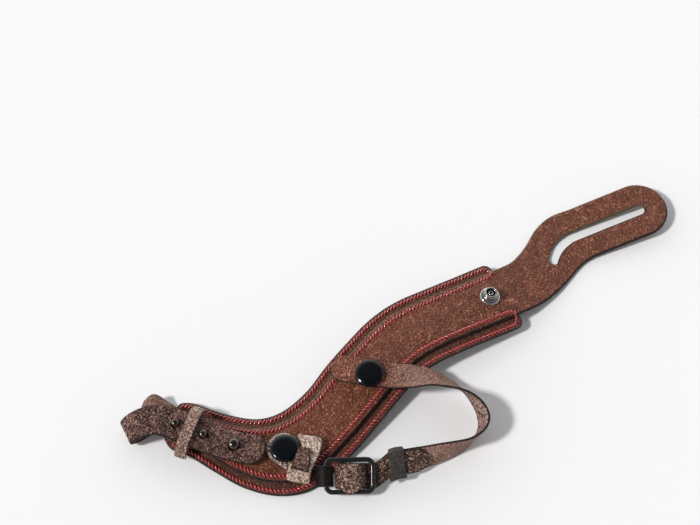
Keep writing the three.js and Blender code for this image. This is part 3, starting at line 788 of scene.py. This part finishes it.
def leather_finish(name, seed, colors, edge_color, pebble=1.5, crease=3.0, stretch=0.4, crease_amount=0.5,
                   bump=0.3, roughness=(0.42, 0.7), specular=0.35, sheen=0.0, coat=0.0, edge_width=0.5,
                   pore=0.2, mottle=0.35, far_colors=None, far_edge=None, far_name="far"):
    """Leather: three colours from hollows to ridges, an edge colour (on the band's left side a raw edge
    painted as lit), and the grain as bump.

    far_colors and far_edge, where given, replace the colours where the attribute far_name is 1.
    """
    material, nodes, links, shader = new_material(name)
    tree = material.node_tree
    skin = nodes.new("ShaderNodeGroup")
    skin.node_tree = hide
    for label, value in zip(HIDE_INPUTS, (pebble, crease, stretch, crease_amount, pore, mottle, seed)):
        skin.inputs[label].default_value = value
    links.new(attribute_node(tree, "lay", "Vector"), skin.inputs["Lay"])
    color = hide_color(tree, skin.outputs["Tone"], *colors)
    if far_colors is not None:
        far_color = hide_color(tree, skin.outputs["Tone"], *far_colors)
        color = mix_node(tree, attribute_node(tree, far_name), color, far_color)
    if far_edge is not None:
        edge_color = mix_node(tree, attribute_node(tree, far_name), edge_color, far_edge)
    inward = step_node(tree, attribute_node(tree, "edge"), edge_width * 0.6, edge_width)
    links.new(mix_node(tree, inward, edge_color, color), shader.inputs["Base Color"])
    gloss = nodes.new("ShaderNodeMapRange")
    gloss.inputs["From Min"].default_value = 0.3
    gloss.inputs["From Max"].default_value = 0.9
    gloss.inputs["To Min"].default_value = roughness[1]
    gloss.inputs["To Max"].default_value = roughness[0]
    links.new(skin.outputs["Height"], gloss.inputs["Value"])
    links.new(gloss.outputs["Result"], shader.inputs["Roughness"])
    relief = nodes.new("ShaderNodeBump")
    relief.inputs["Distance"].default_value = bump * MM
    links.new(skin.outputs["Height"], relief.inputs["Height"])
    links.new(relief.outputs["Normal"], shader.inputs["Normal"])
    shader.inputs["Specular IOR Level"].default_value = specular
    shader.inputs["Sheen Weight"].default_value = sheen
    shader.inputs["Coat Weight"].default_value = coat
    shader.inputs["Coat Roughness"].default_value = 0.25
    return material


def plain_finish(name, dark, light, roughness, grain_scale, metallic=0.0, coat=0.0, specular=0.5, grain=0.0):
    """Metal, enamel, plastic or thread: two clouded colours, roughness that varies, fine grain."""
    material, nodes, links, shader = new_material(name)
    tree = material.node_tree
    place = nodes.new("ShaderNodeTexCoord")
    cloud = texture_node(tree, "ShaderNodeTexNoise", place.outputs["Object"], grain_scale, Detail=4.0)
    links.new(ramp_node(tree, cloud.outputs["Fac"], (0.3, dark), (0.7, light)), shader.inputs["Base Color"])
    vary = nodes.new("ShaderNodeMapRange")
    vary.inputs["To Min"].default_value = roughness * 0.8
    vary.inputs["To Max"].default_value = roughness * 1.25
    links.new(cloud.outputs["Fac"], vary.inputs["Value"])
    links.new(vary.outputs["Result"], shader.inputs["Roughness"])
    shader.inputs["Metallic"].default_value = metallic
    shader.inputs["Specular IOR Level"].default_value = specular
    shader.inputs["Coat Weight"].default_value = coat
    if grain:
        relief = nodes.new("ShaderNodeBump")
        relief.inputs["Distance"].default_value = grain * MM
        links.new(cloud.outputs["Fac"], relief.inputs["Height"])
        links.new(relief.outputs["Normal"], shader.inputs["Normal"])
    return material


# edge colours: dark; a raw edge painted as lit where it faces the lamp; pale, for the plate
EDGE_DARK, RAW_EDGE_LIT, EDGE_PALE = (0.018, 0.01, 0.008), (0.15, 0.1, 0.052), (0.42, 0.3, 0.23)

# hollows, the usual surface, and ridges with crease lines: darker hollows are painted shade, lighter ridges
# and creases painted highlights
GRAIN = ((0.055, 0.014, 0.006), (0.18, 0.049, 0.021), (0.47, 0.2, 0.12))
PAD_GRAIN = ((0.045, 0.014, 0.008), (0.12, 0.038, 0.021), (0.34, 0.15, 0.095))
PAD_UNDER = ((0.1, 0.06, 0.045), (0.15, 0.095, 0.07), (0.2, 0.13, 0.1))
NUBUCK = ((0.024, 0.009, 0.007), (0.155, 0.073, 0.056), (0.45, 0.27, 0.22))
# paler, greyer grain: painted sheen
STRAP_SHEEN = ((0.1, 0.048, 0.034), (0.32, 0.165, 0.12), (0.52, 0.33, 0.27))
STRAP_BACK = ((0.024, 0.01, 0.007), (0.165, 0.088, 0.065), (0.56, 0.38, 0.31))
# the strap's back, paler where it faces the lamp: painted light
STRAP_LIT = ((0.05, 0.024, 0.018), (0.38, 0.22, 0.17), (0.78, 0.58, 0.5))
# near-white light colours, which also paint the glossy highlights on the ridges and pleats of the plate, the
# lug keeper and the tab
PLATE_SUEDE = ((0.22, 0.12, 0.085), (0.76, 0.54, 0.42), (0.97, 0.88, 0.8))
GLOSS_GRAIN = ((0.05, 0.02, 0.012), (0.27, 0.14, 0.095), (0.8, 0.56, 0.43))
TAB_GRAIN = ((0.1, 0.05, 0.035), (0.5, 0.36, 0.28), (0.82, 0.72, 0.64))
# near black: the anchor loop's own dark colour and painted shade under the plate
DARK_SHADED_HIDE = ((0.002, 0.0015, 0.0015), (0.005, 0.004, 0.0035), (0.016, 0.012, 0.01))
finishes = {
    # the band's edge: painted light on its left side, where the raw edge faces the lamp, and near black on
    # its right side, a wide edge that paints the shaded gap beside the band
    "band": leather_finish(
        "band_grain", 1.0, GRAIN, EDGE_DARK, crease=3.0, stretch=0.5, crease_amount=1.0, bump=0.9,
        specular=0.28, mottle=0.22, edge_width=1.0, far_edge=RAW_EDGE_LIT,
    ),
    "pad": leather_finish(
        "pad_grain", 2.0, PAD_GRAIN, EDGE_DARK, pebble=1.2, bump=0.7, mottle=0.8, edge_width=0.75,
    ),
    "pad_under": leather_finish(
        "pad_under", 3.0, PAD_UNDER, EDGE_DARK, pebble=0.8, bump=0.08, roughness=(0.8, 0.95), sheen=0.2,
    ),
    "nubuck": leather_finish(
        "nubuck", 4.0, NUBUCK, EDGE_DARK, pebble=1.1, crease=2.2, stretch=0.8, crease_amount=0.5, bump=1.1,
        roughness=(0.4, 0.8), specular=0.22, pore=0.35, mottle=1.7,
    ),
    "strap_face": leather_finish(
        "strap_face", 5.0, GRAIN, EDGE_DARK, pebble=1.4, crease=2.6, stretch=0.5, crease_amount=0.9, bump=0.8,
        mottle=0.9, edge_width=0.55, far_colors=STRAP_SHEEN,
    ),
    "strap_back": leather_finish(
        "strap_back", 6.0, STRAP_BACK, EDGE_DARK, pebble=1.2, crease=2.2, stretch=0.7, crease_amount=0.5,
        bump=1.2, roughness=(0.4, 0.8), specular=0.22, pore=0.35, mottle=1.5, edge_width=0.55,
        far_colors=STRAP_LIT, far_name="patch",
    ),
    "plate": leather_finish(
        "plate_suede", 7.0, PLATE_SUEDE, EDGE_PALE, pebble=1.2, crease=2.2, stretch=0.7, crease_amount=0.9,
        bump=1.1, roughness=(0.3, 0.7), mottle=1.9, edge_width=0.3,
    ),
    "gloss_grain": leather_finish(
        "gloss_grain", 8.0, GLOSS_GRAIN, EDGE_DARK, pebble=1.3, crease=2.0, stretch=0.3, crease_amount=0.9,
        bump=1.0, roughness=(0.24, 0.42), specular=0.5, coat=0.2, mottle=1.3, edge_width=0.35,
    ),
    "tab_grain": leather_finish(
        "tab_grain", 9.0, TAB_GRAIN, EDGE_DARK, pebble=1.3, crease=2.0, stretch=0.3, crease_amount=0.9,
        bump=1.0, roughness=(0.2, 0.4), specular=0.7, coat=0.3, mottle=0.9, edge_width=0.35,
    ),
    "dark_hide": leather_finish(
        "dark_hide", 10.0, DARK_SHADED_HIDE, EDGE_DARK, pebble=0.9, bump=0.15, specular=0.15,
    ),
    "thread": plain_finish(
        "red_thread", (0.11, 0.005, 0.006), (0.6, 0.075, 0.075), 0.26, 1500.0, coat=0.7, grain=0.2,
    ),
    "enamel": plain_finish(
        "black_enamel", (0.0017, 0.0026, 0.004), (0.0023, 0.0034, 0.005), 0.13, 250.0, coat=0.08,
        specular=0.24,
    ),
    "steel": plain_finish("nickel", (0.4, 0.385, 0.37), (0.56, 0.54, 0.52), 0.13, 500.0, metallic=1.0),
    "gunmetal": plain_finish("gunmetal", (0.07, 0.06, 0.055), (0.11, 0.095, 0.09), 0.17, 500.0, metallic=1.0),
    "elastic": plain_finish(
        "elastic", (0.016, 0.0155, 0.013), (0.075, 0.072, 0.063), 0.8, 1100.0, specular=0.2, grain=0.3,
    ),
    "plastic": plain_finish(
        "black_plastic", (0.006, 0.006, 0.007), (0.012, 0.012, 0.013), 0.3, 1200.0, specular=0.5, coat=0.35,
        grain=0.02,
    ),
}


def set_attribute(obj, name, function):
    """Float attribute that is a function of the lay."""
    mesh = obj.data
    lay = np.empty(len(mesh.vertices) * 3, np.float32)
    mesh.attributes["lay"].data.foreach_get("vector", lay)
    values = function(lay.reshape(-1, 3)).astype(np.float32)
    mesh.attributes.new(name, "FLOAT", "POINT").data.foreach_set("value", values)


def dress(obj, slot, *names):
    """Finishes in the order of the piece's material slots; slot, the record's slot that it stands for, is not
    used.
    """
    for name in names:
        obj.data.materials.append(finishes[name])


# ------------------------------------------------------------------ pad and band
pad = Strap(PAD_ROWS)
band_rows = [
    [x, y, rise + PAD_THICK + GAP, edge, bank, half - BORDER] for x, y, rise, edge, bank, half in PAD_ROWS[1:]
] + TONGUE_ROWS
band = Strap(band_rows)


def band_crown(x):
    """Rise of the padded middle: straight up from start to full, and straight down from until to end."""
    c = BAND_CROWN
    return (
        c["rise"] * np.clip((c["end"] - x) / (c["end"] - c["until"]), 0, 1)
        * np.clip((x - c["start"]) / (c["full"] - c["start"]), 0, 1)
    )


def seam_dent(d, u, half, row, depth):
    """Furrow that the thread pulls along both sides, deeper at each stitch:
    -depth * exp(-((distance from the row) / width)^2) * (1 + 0.25 cos(2 pi d / pitch))."""
    width = 0.9
    pull = 0.5 + 0.5 * np.cos(2 * np.pi * d / STITCH_PITCH)
    return -depth * np.exp(-(((half - np.abs(u)) - row) / width) ** 2) * (0.75 + 0.5 * pull)


pad_waves = waves((0.12, 3.1, 3.4, 11), (0.06, 1.4, 1.5, 12))
band_waves = waves((0.1, 4.0, 6.5, 21), (0.05, 1.2, 3.6, 22))


def pad_relief(d, u):
    """Waves, and the furrow of the outer row."""
    half = pad.frame(d[:, 0])[3][:, None]
    return seam_dent(d, u, half, OUTER_ROW, 0.28) + pad_waves(d, u)


def band_relief(d, u):
    """Waves that fade on the tongue, and the furrow of the inner row, which ends before it."""
    middle, _, _, half = band.frame(d[:, 0])
    sewn = smoothstep((SEWN_END_X - middle[:, 0]) / 3)[:, None]
    dents = seam_dent(d, u, half[:, None], INNER_ROW - BORDER, 0.3) * sewn
    return dents + band_waves(d, u) * (0.35 + 0.65 * sewn)


base_pad = leather("base_pad_leather", pad, 0, PAD_THICK, PAD_TIP_R, PAD_CORNER_R, relief=pad_relief)
dress(base_pad, "pad_leather", "pad", "pad_under")
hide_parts("base_pad")


def slot_opening():
    """The slot in the band's own coordinates: its middle line u(d), half width, and distance to its wall.

    A point of its middle line is at the distance d whose crossways line runs through it, found as
    the change of sign of offset x left that is closest to the nearest point of the band's line.
    """
    line = catmull_rom(SLOT_LINE, np.linspace(0, len(SLOT_LINE) - 1, 120))
    fine = np.linspace(0, band.length, 2400)
    middle, left, _, _ = band.frame(fine)
    reach = 60       # points of the band's line that are looked at on either side
    nearest = np.argmin(np.sum((line[:, None] - middle[None, :, :2]) ** 2, axis=-1), axis=1)
    window = nearest[:, None] + np.arange(-reach, reach)
    offset, basis = line[:, None] - middle[window, :2], left[window, :2]
    cross = offset[..., 0] * basis[..., 1] - offset[..., 1] * basis[..., 0]
    flips = np.sign(cross[:, :-1]) != np.sign(cross[:, 1:])
    steps = np.abs(np.arange(flips.shape[1]) - reach)
    found = np.argmin(np.where(flips, steps, len(fine)), axis=1)
    each = np.arange(len(line))
    found_d = fine[window[each, found]]
    found_u = np.sum(offset[each, found] * basis[each, found], axis=-1)
    order = np.argsort(found_d)
    found_d, found_u = found_d[order], found_u[order]
    r = SLOT_WIDTH / 2
    start, end = found_d[0], found_d[-1]

    def centre(d):
        return np.interp(d, found_d, found_u)

    def half(d):
        past = np.maximum(np.maximum(start - d, d - end), 0)
        return np.where(past < r, np.sqrt(np.maximum(r * r - past**2, 0)), 0.0)

    def distance(d, u):
        past = np.maximum(np.maximum(start - d, d - end), 0)
        return np.hypot(past, u - centre(d)) - r

    turn = np.linspace(0, np.pi / 2, 12)
    rows = np.concatenate([start - r * np.cos(turn), end + r * np.cos(turn)])
    return dict(middle=centre, half=half, distance=distance, rows=rows)


centre_band = leather(
    "band_leather", band, 0, BAND_THICK, BAND_TIP_R, PADDLE_R,
    relief=band_relief, crown=band_crown, slit=slot_opening(),
)
# far is 1 on the band's left side, where its edge is painted lit
set_attribute(centre_band, "far", lambda lay: smoothstep(lay[:, 0] / 2 + 0.5))   # its left side
dress(centre_band, "grain_leather", "band", "pad_under")
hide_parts("centre_band")


# ------------------------------------------------------------------ seams
def on_sewn_leather(d, u):
    """Places and upward directions on the pad, or on the band where that covers it."""
    middle, left, up, half = pad.frame(d)
    inner = half - BORDER
    sunk = 0.15
    on_band = PAD_THICK + GAP + BAND_THICK - sunk + band_crown(middle[:, 0]) * (1 - (u / inner) ** 2)
    # and lower by up to 0.6 of the band near its edge, where the thread pulls it down
    on_band -= BAND_THICK * (1 - smoothstep((inner - np.abs(u)) / 0.8)) * 0.6
    over = np.where(np.abs(u) < inner, on_band, PAD_THICK - sunk)
    return middle + left * u[:, None] + up * over[:, None], up


def seam_path(side):
    """Outer row along the pad's edge, a U-turn at its top end, and the inner row back on the band."""
    turn_r = (INNER_ROW - OUTER_ROW) / 2
    end = pad.length - OUTER_ROW - turn_r
    out = np.linspace(SEAM_START, end, 260)
    half = pad.frame(out)[3]
    arc = np.linspace(0, np.pi, 16)[1:-1]
    middle = half[-1] - OUTER_ROW - turn_r
    back = out[::-1] > INNER_START
    d = np.concatenate([out, end + turn_r * np.sin(arc), out[::-1][back]])
    u = np.concatenate([half - OUTER_ROW, middle + turn_r * np.cos(arc), (half[::-1] - INNER_ROW)[back]])
    return d, side * u


for side, name in ((1, "far_seam"), (-1, "near_seam")):
    seam = stitches(name, *on_sewn_leather(*seam_path(side)), STITCH_SLANT * side)
    dress(seam, "grain_leather", "thread")

# ------------------------------------------------------------------ lug strip, studs and keeper
lug = Strap(LUG_ROWS, LUG_HALF)
lug_waves = waves((0.12, 2.6, 2.6, 31), (0.07, 1.1, 1.1, 32))


def lug_relief(d, u):
    """Fine waves, and round each stud a hole with a lifted rim, exp(-((away - rim) / width)^2)."""
    relief = lug_waves(d, u)
    upper = smoothstep((LUG_RETURN - d) / 2)
    place = lug.point(d, u, np.zeros_like(u))
    for (x, y, *_), head in zip(STUD_SEATS, STUD["heads"]):
        away = np.hypot(place[..., 0] - x, place[..., 1] - y)
        rim = 0.35 * np.exp(-(((away - head - 0.55) / 0.6) ** 2))
        hole = -1.2 * (1 - smoothstep((away - head * 0.95) / 0.4))
        relief = relief + (rim + hole) * upper
    return relief


lug_strip = leather("lug_leather", lug, 0, LUG_THICK, LUG_TIP_R, LUG_END_R, step=0.5, relief=lug_relief)
# its lower face takes the paler, greyer grain of painted sheen
set_attribute(lug_strip, "far", lambda lay: np.ones(len(lay)))
dress(lug_strip, "suede_leather", "nubuck", "strap_face")
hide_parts("lug_strip")


def stud_profile(head):
    """Flat foot, neck, and a ball that is a little flattened, for a head of that radius."""
    neck, rise = STUD["neck"] * head, STUD["rise"]
    foot = [[0, 0], [0.5, 0], [2.3, 0], [2.6, 0.1], [2.6, 0.5], [2.3, 0.6], [neck, 0.8], [neck, rise - 0.3]]
    turn = np.radians(np.linspace(-60, 90, 16))
    ball = np.stack([head * np.cos(turn), rise + head * (0.5 + 0.77 * np.sin(turn))], axis=1)
    return np.concatenate([foot, ball])


for k, (seat, head) in enumerate(zip(STUD_SEATS, STUD["heads"])):
    stud = turned(f"stud_{k + 1}_metal", stud_profile(head), seat)
    dress(stud, "gunmetal", "gunmetal")
    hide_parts(f"stud_{k + 1}")

along = LUG_KEEPER["along"]
keeper_rows = [
    [
        LUG_KEEPER["x"] + d * np.cos(np.radians(along)), LUG_KEEPER["y"] + d * np.sin(np.radians(along)),
        z, along + 90, 0, 1,
    ]
    for d, z in LUG_KEEPER_ARCH
]
lug_keeper = small_strip(
    "lug_keeper_leather", keeper_rows, LUG_KEEPER, 0, 0.35,
    waves((0.26, 3.0, 0.9, 41), (0.08, 0.9, 0.6, 42)),
)
dress(lug_keeper, "grain_leather", "gloss_grain", "pad_under")
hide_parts("lug_keeper")

# ------------------------------------------------------------------ snaps and their tabs
CAP_PROFILE = smooth_profile([
    [0, 0], [CAP_R - 0.8, 0], [CAP_R, 0.5], [CAP_R - 0.04, 1.3], [CAP_R - 0.5, 1.95],
    [CAP_R - 2.6, 2.65], [0, 3.1],
], 6)
SOCKET_PROFILE = [
    [0, 0], [4.4, 0], [4.6, 0.3], [4.5, 0.7], [4.1, 0.95], [3.4, 1.05], [3.2, 1.3], [3.15, 3.2],
    [2.9, 3.7], [2.5, 3.8], [2.15, 3.5], [2.1, 1.7], [1.9, 1.45], [1.4, 1.5], [1.3, 2.0], [1.3, 3.0],
    [1.1, 3.35], [0.8, 3.3], [0.65, 3.0], [0.6, 1.4], [0, 1.2],
]
for name, seat in (("upper", CAP_UPPER_SEAT), ("lower", CAP_LOWER_SEAT)):
    cap = turned(f"cap_{name}_enamel", CAP_PROFILE, seat)
    dress(cap, "enamel", "enamel")
    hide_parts(f"snap_cap_{name}")

socket = turned("socket_metal", smooth_profile(SOCKET_PROFILE, PROFILE_STEPS), SOCKET_SEAT)
dress(socket, "steel", "steel", "enamel")
# its hollow takes the black enamel as painted shade
rows = np.arange(len(socket.data.polygons)) // TURN_SIDES
shade_start, shade_end = (point * PROFILE_STEPS for point in SOCKET_SHADED_HOLLOW)
socket.data.polygons.foreach_set("material_index", ((rows >= shade_start) & (rows < shade_end)).astype(int))
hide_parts("snap_socket")

tab = Strap(TAB_ROWS, TAB["half"])
tab_waves = waves((0.1, 1.3, 1.3, 62))


def tab_relief(d, u):
    """Pleats that radiate from under the cap: the cosine of 23 times the direction, bent by a noise."""
    place = tab.point(d, u, np.zeros_like(u))
    dx, dy = place[..., 0] - CAP_LOWER_SEAT[0], place[..., 1] - CAP_LOWER_SEAT[1]
    turn = np.arctan2(dy, dx)
    away = np.hypot(dx, dy)
    pleats = np.cos(turn * 23 + 1.6 * noise(turn * 3, away / 3, 61))
    return 0.32 * pleats * smoothstep((away - 4.5) / 2) + tab_waves(d, u)


snap_tab = leather(
    "tab_leather", tab, 0, TAB["thick"], TAB["round_r"], TAB["corner_r"], step=0.3, relief=tab_relief,
)
dress(snap_tab, "grain_leather", "tab_grain", "pad_under")
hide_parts("snap_tab")

anchor_plate = small_strip(
    "plate_leather", PLATE_ROWS, PLATE, 0, 0.35, waves((0.28, 1.5, 2.4, 71), (0.12, 0.7, 0.9, 72)),
)
dress(anchor_plate, "suede_leather", "plate", "pad_under")
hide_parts("anchor_plate")
anchor_stem = small_strip(
    "stem_leather", STEM_ROWS, STEM, 0, 0.35, waves((0.12, 1.5, 1.5, 73), (0.06, 0.7, 0.7, 74)),
)
dress(anchor_stem, "suede_leather", "nubuck", "pad_under")
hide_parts("anchor_stem")

# ------------------------------------------------------------------ buckle and wrist strap
buckle_angles = [np.radians(BUCKLE_TURN[k]) for k in ("lean", "pitch", "along")]
buckle_turn = np.array(Euler(buckle_angles, "XYZ").to_matrix())


def in_buckle(points):
    """Points of the buckle's own frame (along, across, over), turned and set in place."""
    return points @ buckle_turn.T + BUCKLE_SEAT


def buckle_row(u, n, w, share):
    """Row of a strap that is threaded through the buckle."""
    x, y, z = in_buckle(np.array([u, w, n]))
    return [x, y, z, BUCKLE_TURN["along"] - 90, -BUCKLE_TURN["lean"], share]


loop_rows = WRIST_ROWS + [buckle_row(*row) for row in THREAD_LINE]
loop = Strap(loop_rows, WRIST_HALF)
tail_rows = []
for back in TAIL_ROWS_BACK:
    row = len(WRIST_ROWS) - back
    middle, _, up, _ = loop.frame(loop.distance_of(row))
    tail_rows.append([*(middle + up * TAIL_LIFT), *catmull_rom(loop_rows, row)[3:]])
wrist = Strap(loop_rows + tail_rows, WRIST_HALF)
wrist_strap = leather(
    "wrist_leather", wrist, -WRIST_THICK / 2, WRIST_THICK / 2, WRIST_START_R, WRIST_TIP_R,
    step=0.6, relief=waves((0.07, 2.2, 2.2, 81), (0.04, 0.9, 0.9, 82)),
)
# slot 0 is its grain face, painted paler and greyer past the pad as sheen; slot 1 its back, painted paler as
# lit where it faces the lamp in the buckle and round the turn
set_attribute(wrist_strap, "far", lambda lay: smoothstep((lay[:, 1] - SHEEN_START) / SHEEN_RUN))
# the patch marks where the strap's back is painted as lit
patch_start, patch_end = (loop.distance_of(len(WRIST_ROWS) + row) for row in LIT_THREAD_ROWS)
turn_start, turn_end = (loop.distance_of(row) for row in LIT_TURN_ROWS)
set_attribute(wrist_strap, "patch", lambda lay: np.maximum(
    smoothstep((lay[:, 1] - patch_start) / 2) * smoothstep((patch_end - lay[:, 1]) / 4),
    smoothstep((lay[:, 1] - turn_start) / 8) * smoothstep((turn_end - lay[:, 1]) / 8),
))
dress(wrist_strap, "suede_leather", "strap_face", "strap_back")
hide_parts("wrist_strap")

anchor_rows = [buckle_row(*row) for row in ANCHOR_LINE]
anchor_loop = small_strip("anchor_leather", anchor_rows, ANCHOR, -ANCHOR["thick"] / 2, 0.5)
# near black, partly the loop's own colour and partly painted shade under the plate
dress(anchor_loop, "dark_leather", "dark_hide", "dark_hide")
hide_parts("anchor_loop")


def rounded_section(half_width, half_height, power, count):
    """Superellipse |x / a|^p + |y / b|^p = 1."""
    a = np.linspace(0, 2 * np.pi, count, endpoint=False)
    x, y = (np.sign(c) * np.abs(c) ** (2 / power) for c in (np.cos(a), np.sin(a)))
    return x * half_width, y * half_height


def rounded_frame(length, width, r, per_corner):
    """Points and outward directions of a rectangle with round corners, going round anticlockwise."""
    points, out = [], []
    for k, (sx, sy) in enumerate(((1, 1), (-1, 1), (-1, -1), (1, -1))):
        a = np.radians(90 * k) + np.linspace(0, np.pi / 2, per_corner)
        direction = np.stack([np.cos(a), np.sin(a)], axis=-1)
        corner = np.array([sx * (length / 2 - r), sy * (width / 2 - r)])
        points.append(corner + direction * r)
        out.append(direction)
    return np.concatenate(points), np.concatenate(out)


bar = BUCKLE["bar"]
ring, outward = rounded_frame(BUCKLE["length"] - bar, BUCKLE["width"] - bar, BUCKLE["corner"] - bar / 2, 10)
across, over = rounded_section(bar / 2, BUCKLE["thick"] / 2, SECTION_POWER, SECTION_SIDES)
grid = np.concatenate([
    ring[:, None] + outward[:, None] * across[None, :, None],
    np.broadcast_to(over[None, :, None], (len(ring), SECTION_SIDES, 1)),
], axis=-1)
buckle_frame = closed_loft("buckle_frame", in_buckle(grid), True)
dress(buckle_frame, "plastic", "plastic")
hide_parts("buckle")
reach = (BUCKLE["width"] - bar) / 2
along, over = rounded_section(BUCKLE["middle"] / 2, BUCKLE["middle"] / 2, SECTION_POWER, SECTION_SIDES)
w = np.linspace(-reach, reach, 12)
bar_grid = np.stack(np.broadcast_arrays(along[None, :], w[:, None], over[None, :]), axis=-1)
middle_bar = closed_loft("buckle_bar", in_buckle(bar_grid[::-1]), False)
dress(middle_bar, "plastic", "plastic")

# ------------------------------------------------------------------ elastic keeper
# rounded band whose middle line is a rounded rectangle round the strap and its tail
under = -WRIST_THICK / 2 - GAP
over_tail = TAIL_LIFT + WRIST_THICK / 2 + GAP
wide = 2 * ELASTIC["half"] + ELASTIC["wall"]
tall = over_tail - under + ELASTIC["wall"]
ring, outward = rounded_frame(wide, tall, ELASTIC["corner"], 6)
first, last = (loop.distance_of(len(WRIST_ROWS) + offset) for offset in ELASTIC["rows"])
centre, reach = (first + last) / 2, (last - first) / 2
along, out = rounded_section(reach, ELASTIC["wall"] / 2, ELASTIC_POWER, ELASTIC_SIDES)
d = centre + np.broadcast_to(along[None, :], (len(ring), ELASTIC_SIDES))
u = ring[:, None, 0] + outward[:, None, 0] * out[None, :]
h = (over_tail + under) / 2 + ring[:, None, 1] + outward[:, None, 1] * out[None, :]
elastic_keeper = closed_loft("elastic_keeper_band", loop.point(d, u, h), True)
dress(elastic_keeper, "elastic", "elastic")

# its folded end lies on top
along, over = rounded_section(reach + FOLD["extra"], FOLD["height"] / 2, FOLD_POWER, ELASTIC_SIDES)
u = np.linspace(ELASTIC["half"] - FOLD["width"], ELASTIC["half"] + ELASTIC["wall"], 8)
d, u, h = np.broadcast_arrays(centre + along[None, :], u[:, None], over_tail + FOLD["lift"] + over[None, :])
elastic_fold = closed_loft("elastic_fold", loop.point(d, u, h), False)
dress(elastic_fold, "elastic", "elastic")
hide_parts("elastic_keeper")

# ------------------------------------------------------------------ the whole
view_azimuth = make_camera()
make_light(view_azimuth)
make_floor()
bpy.context.scene.view_settings.view_transform = "Standard"
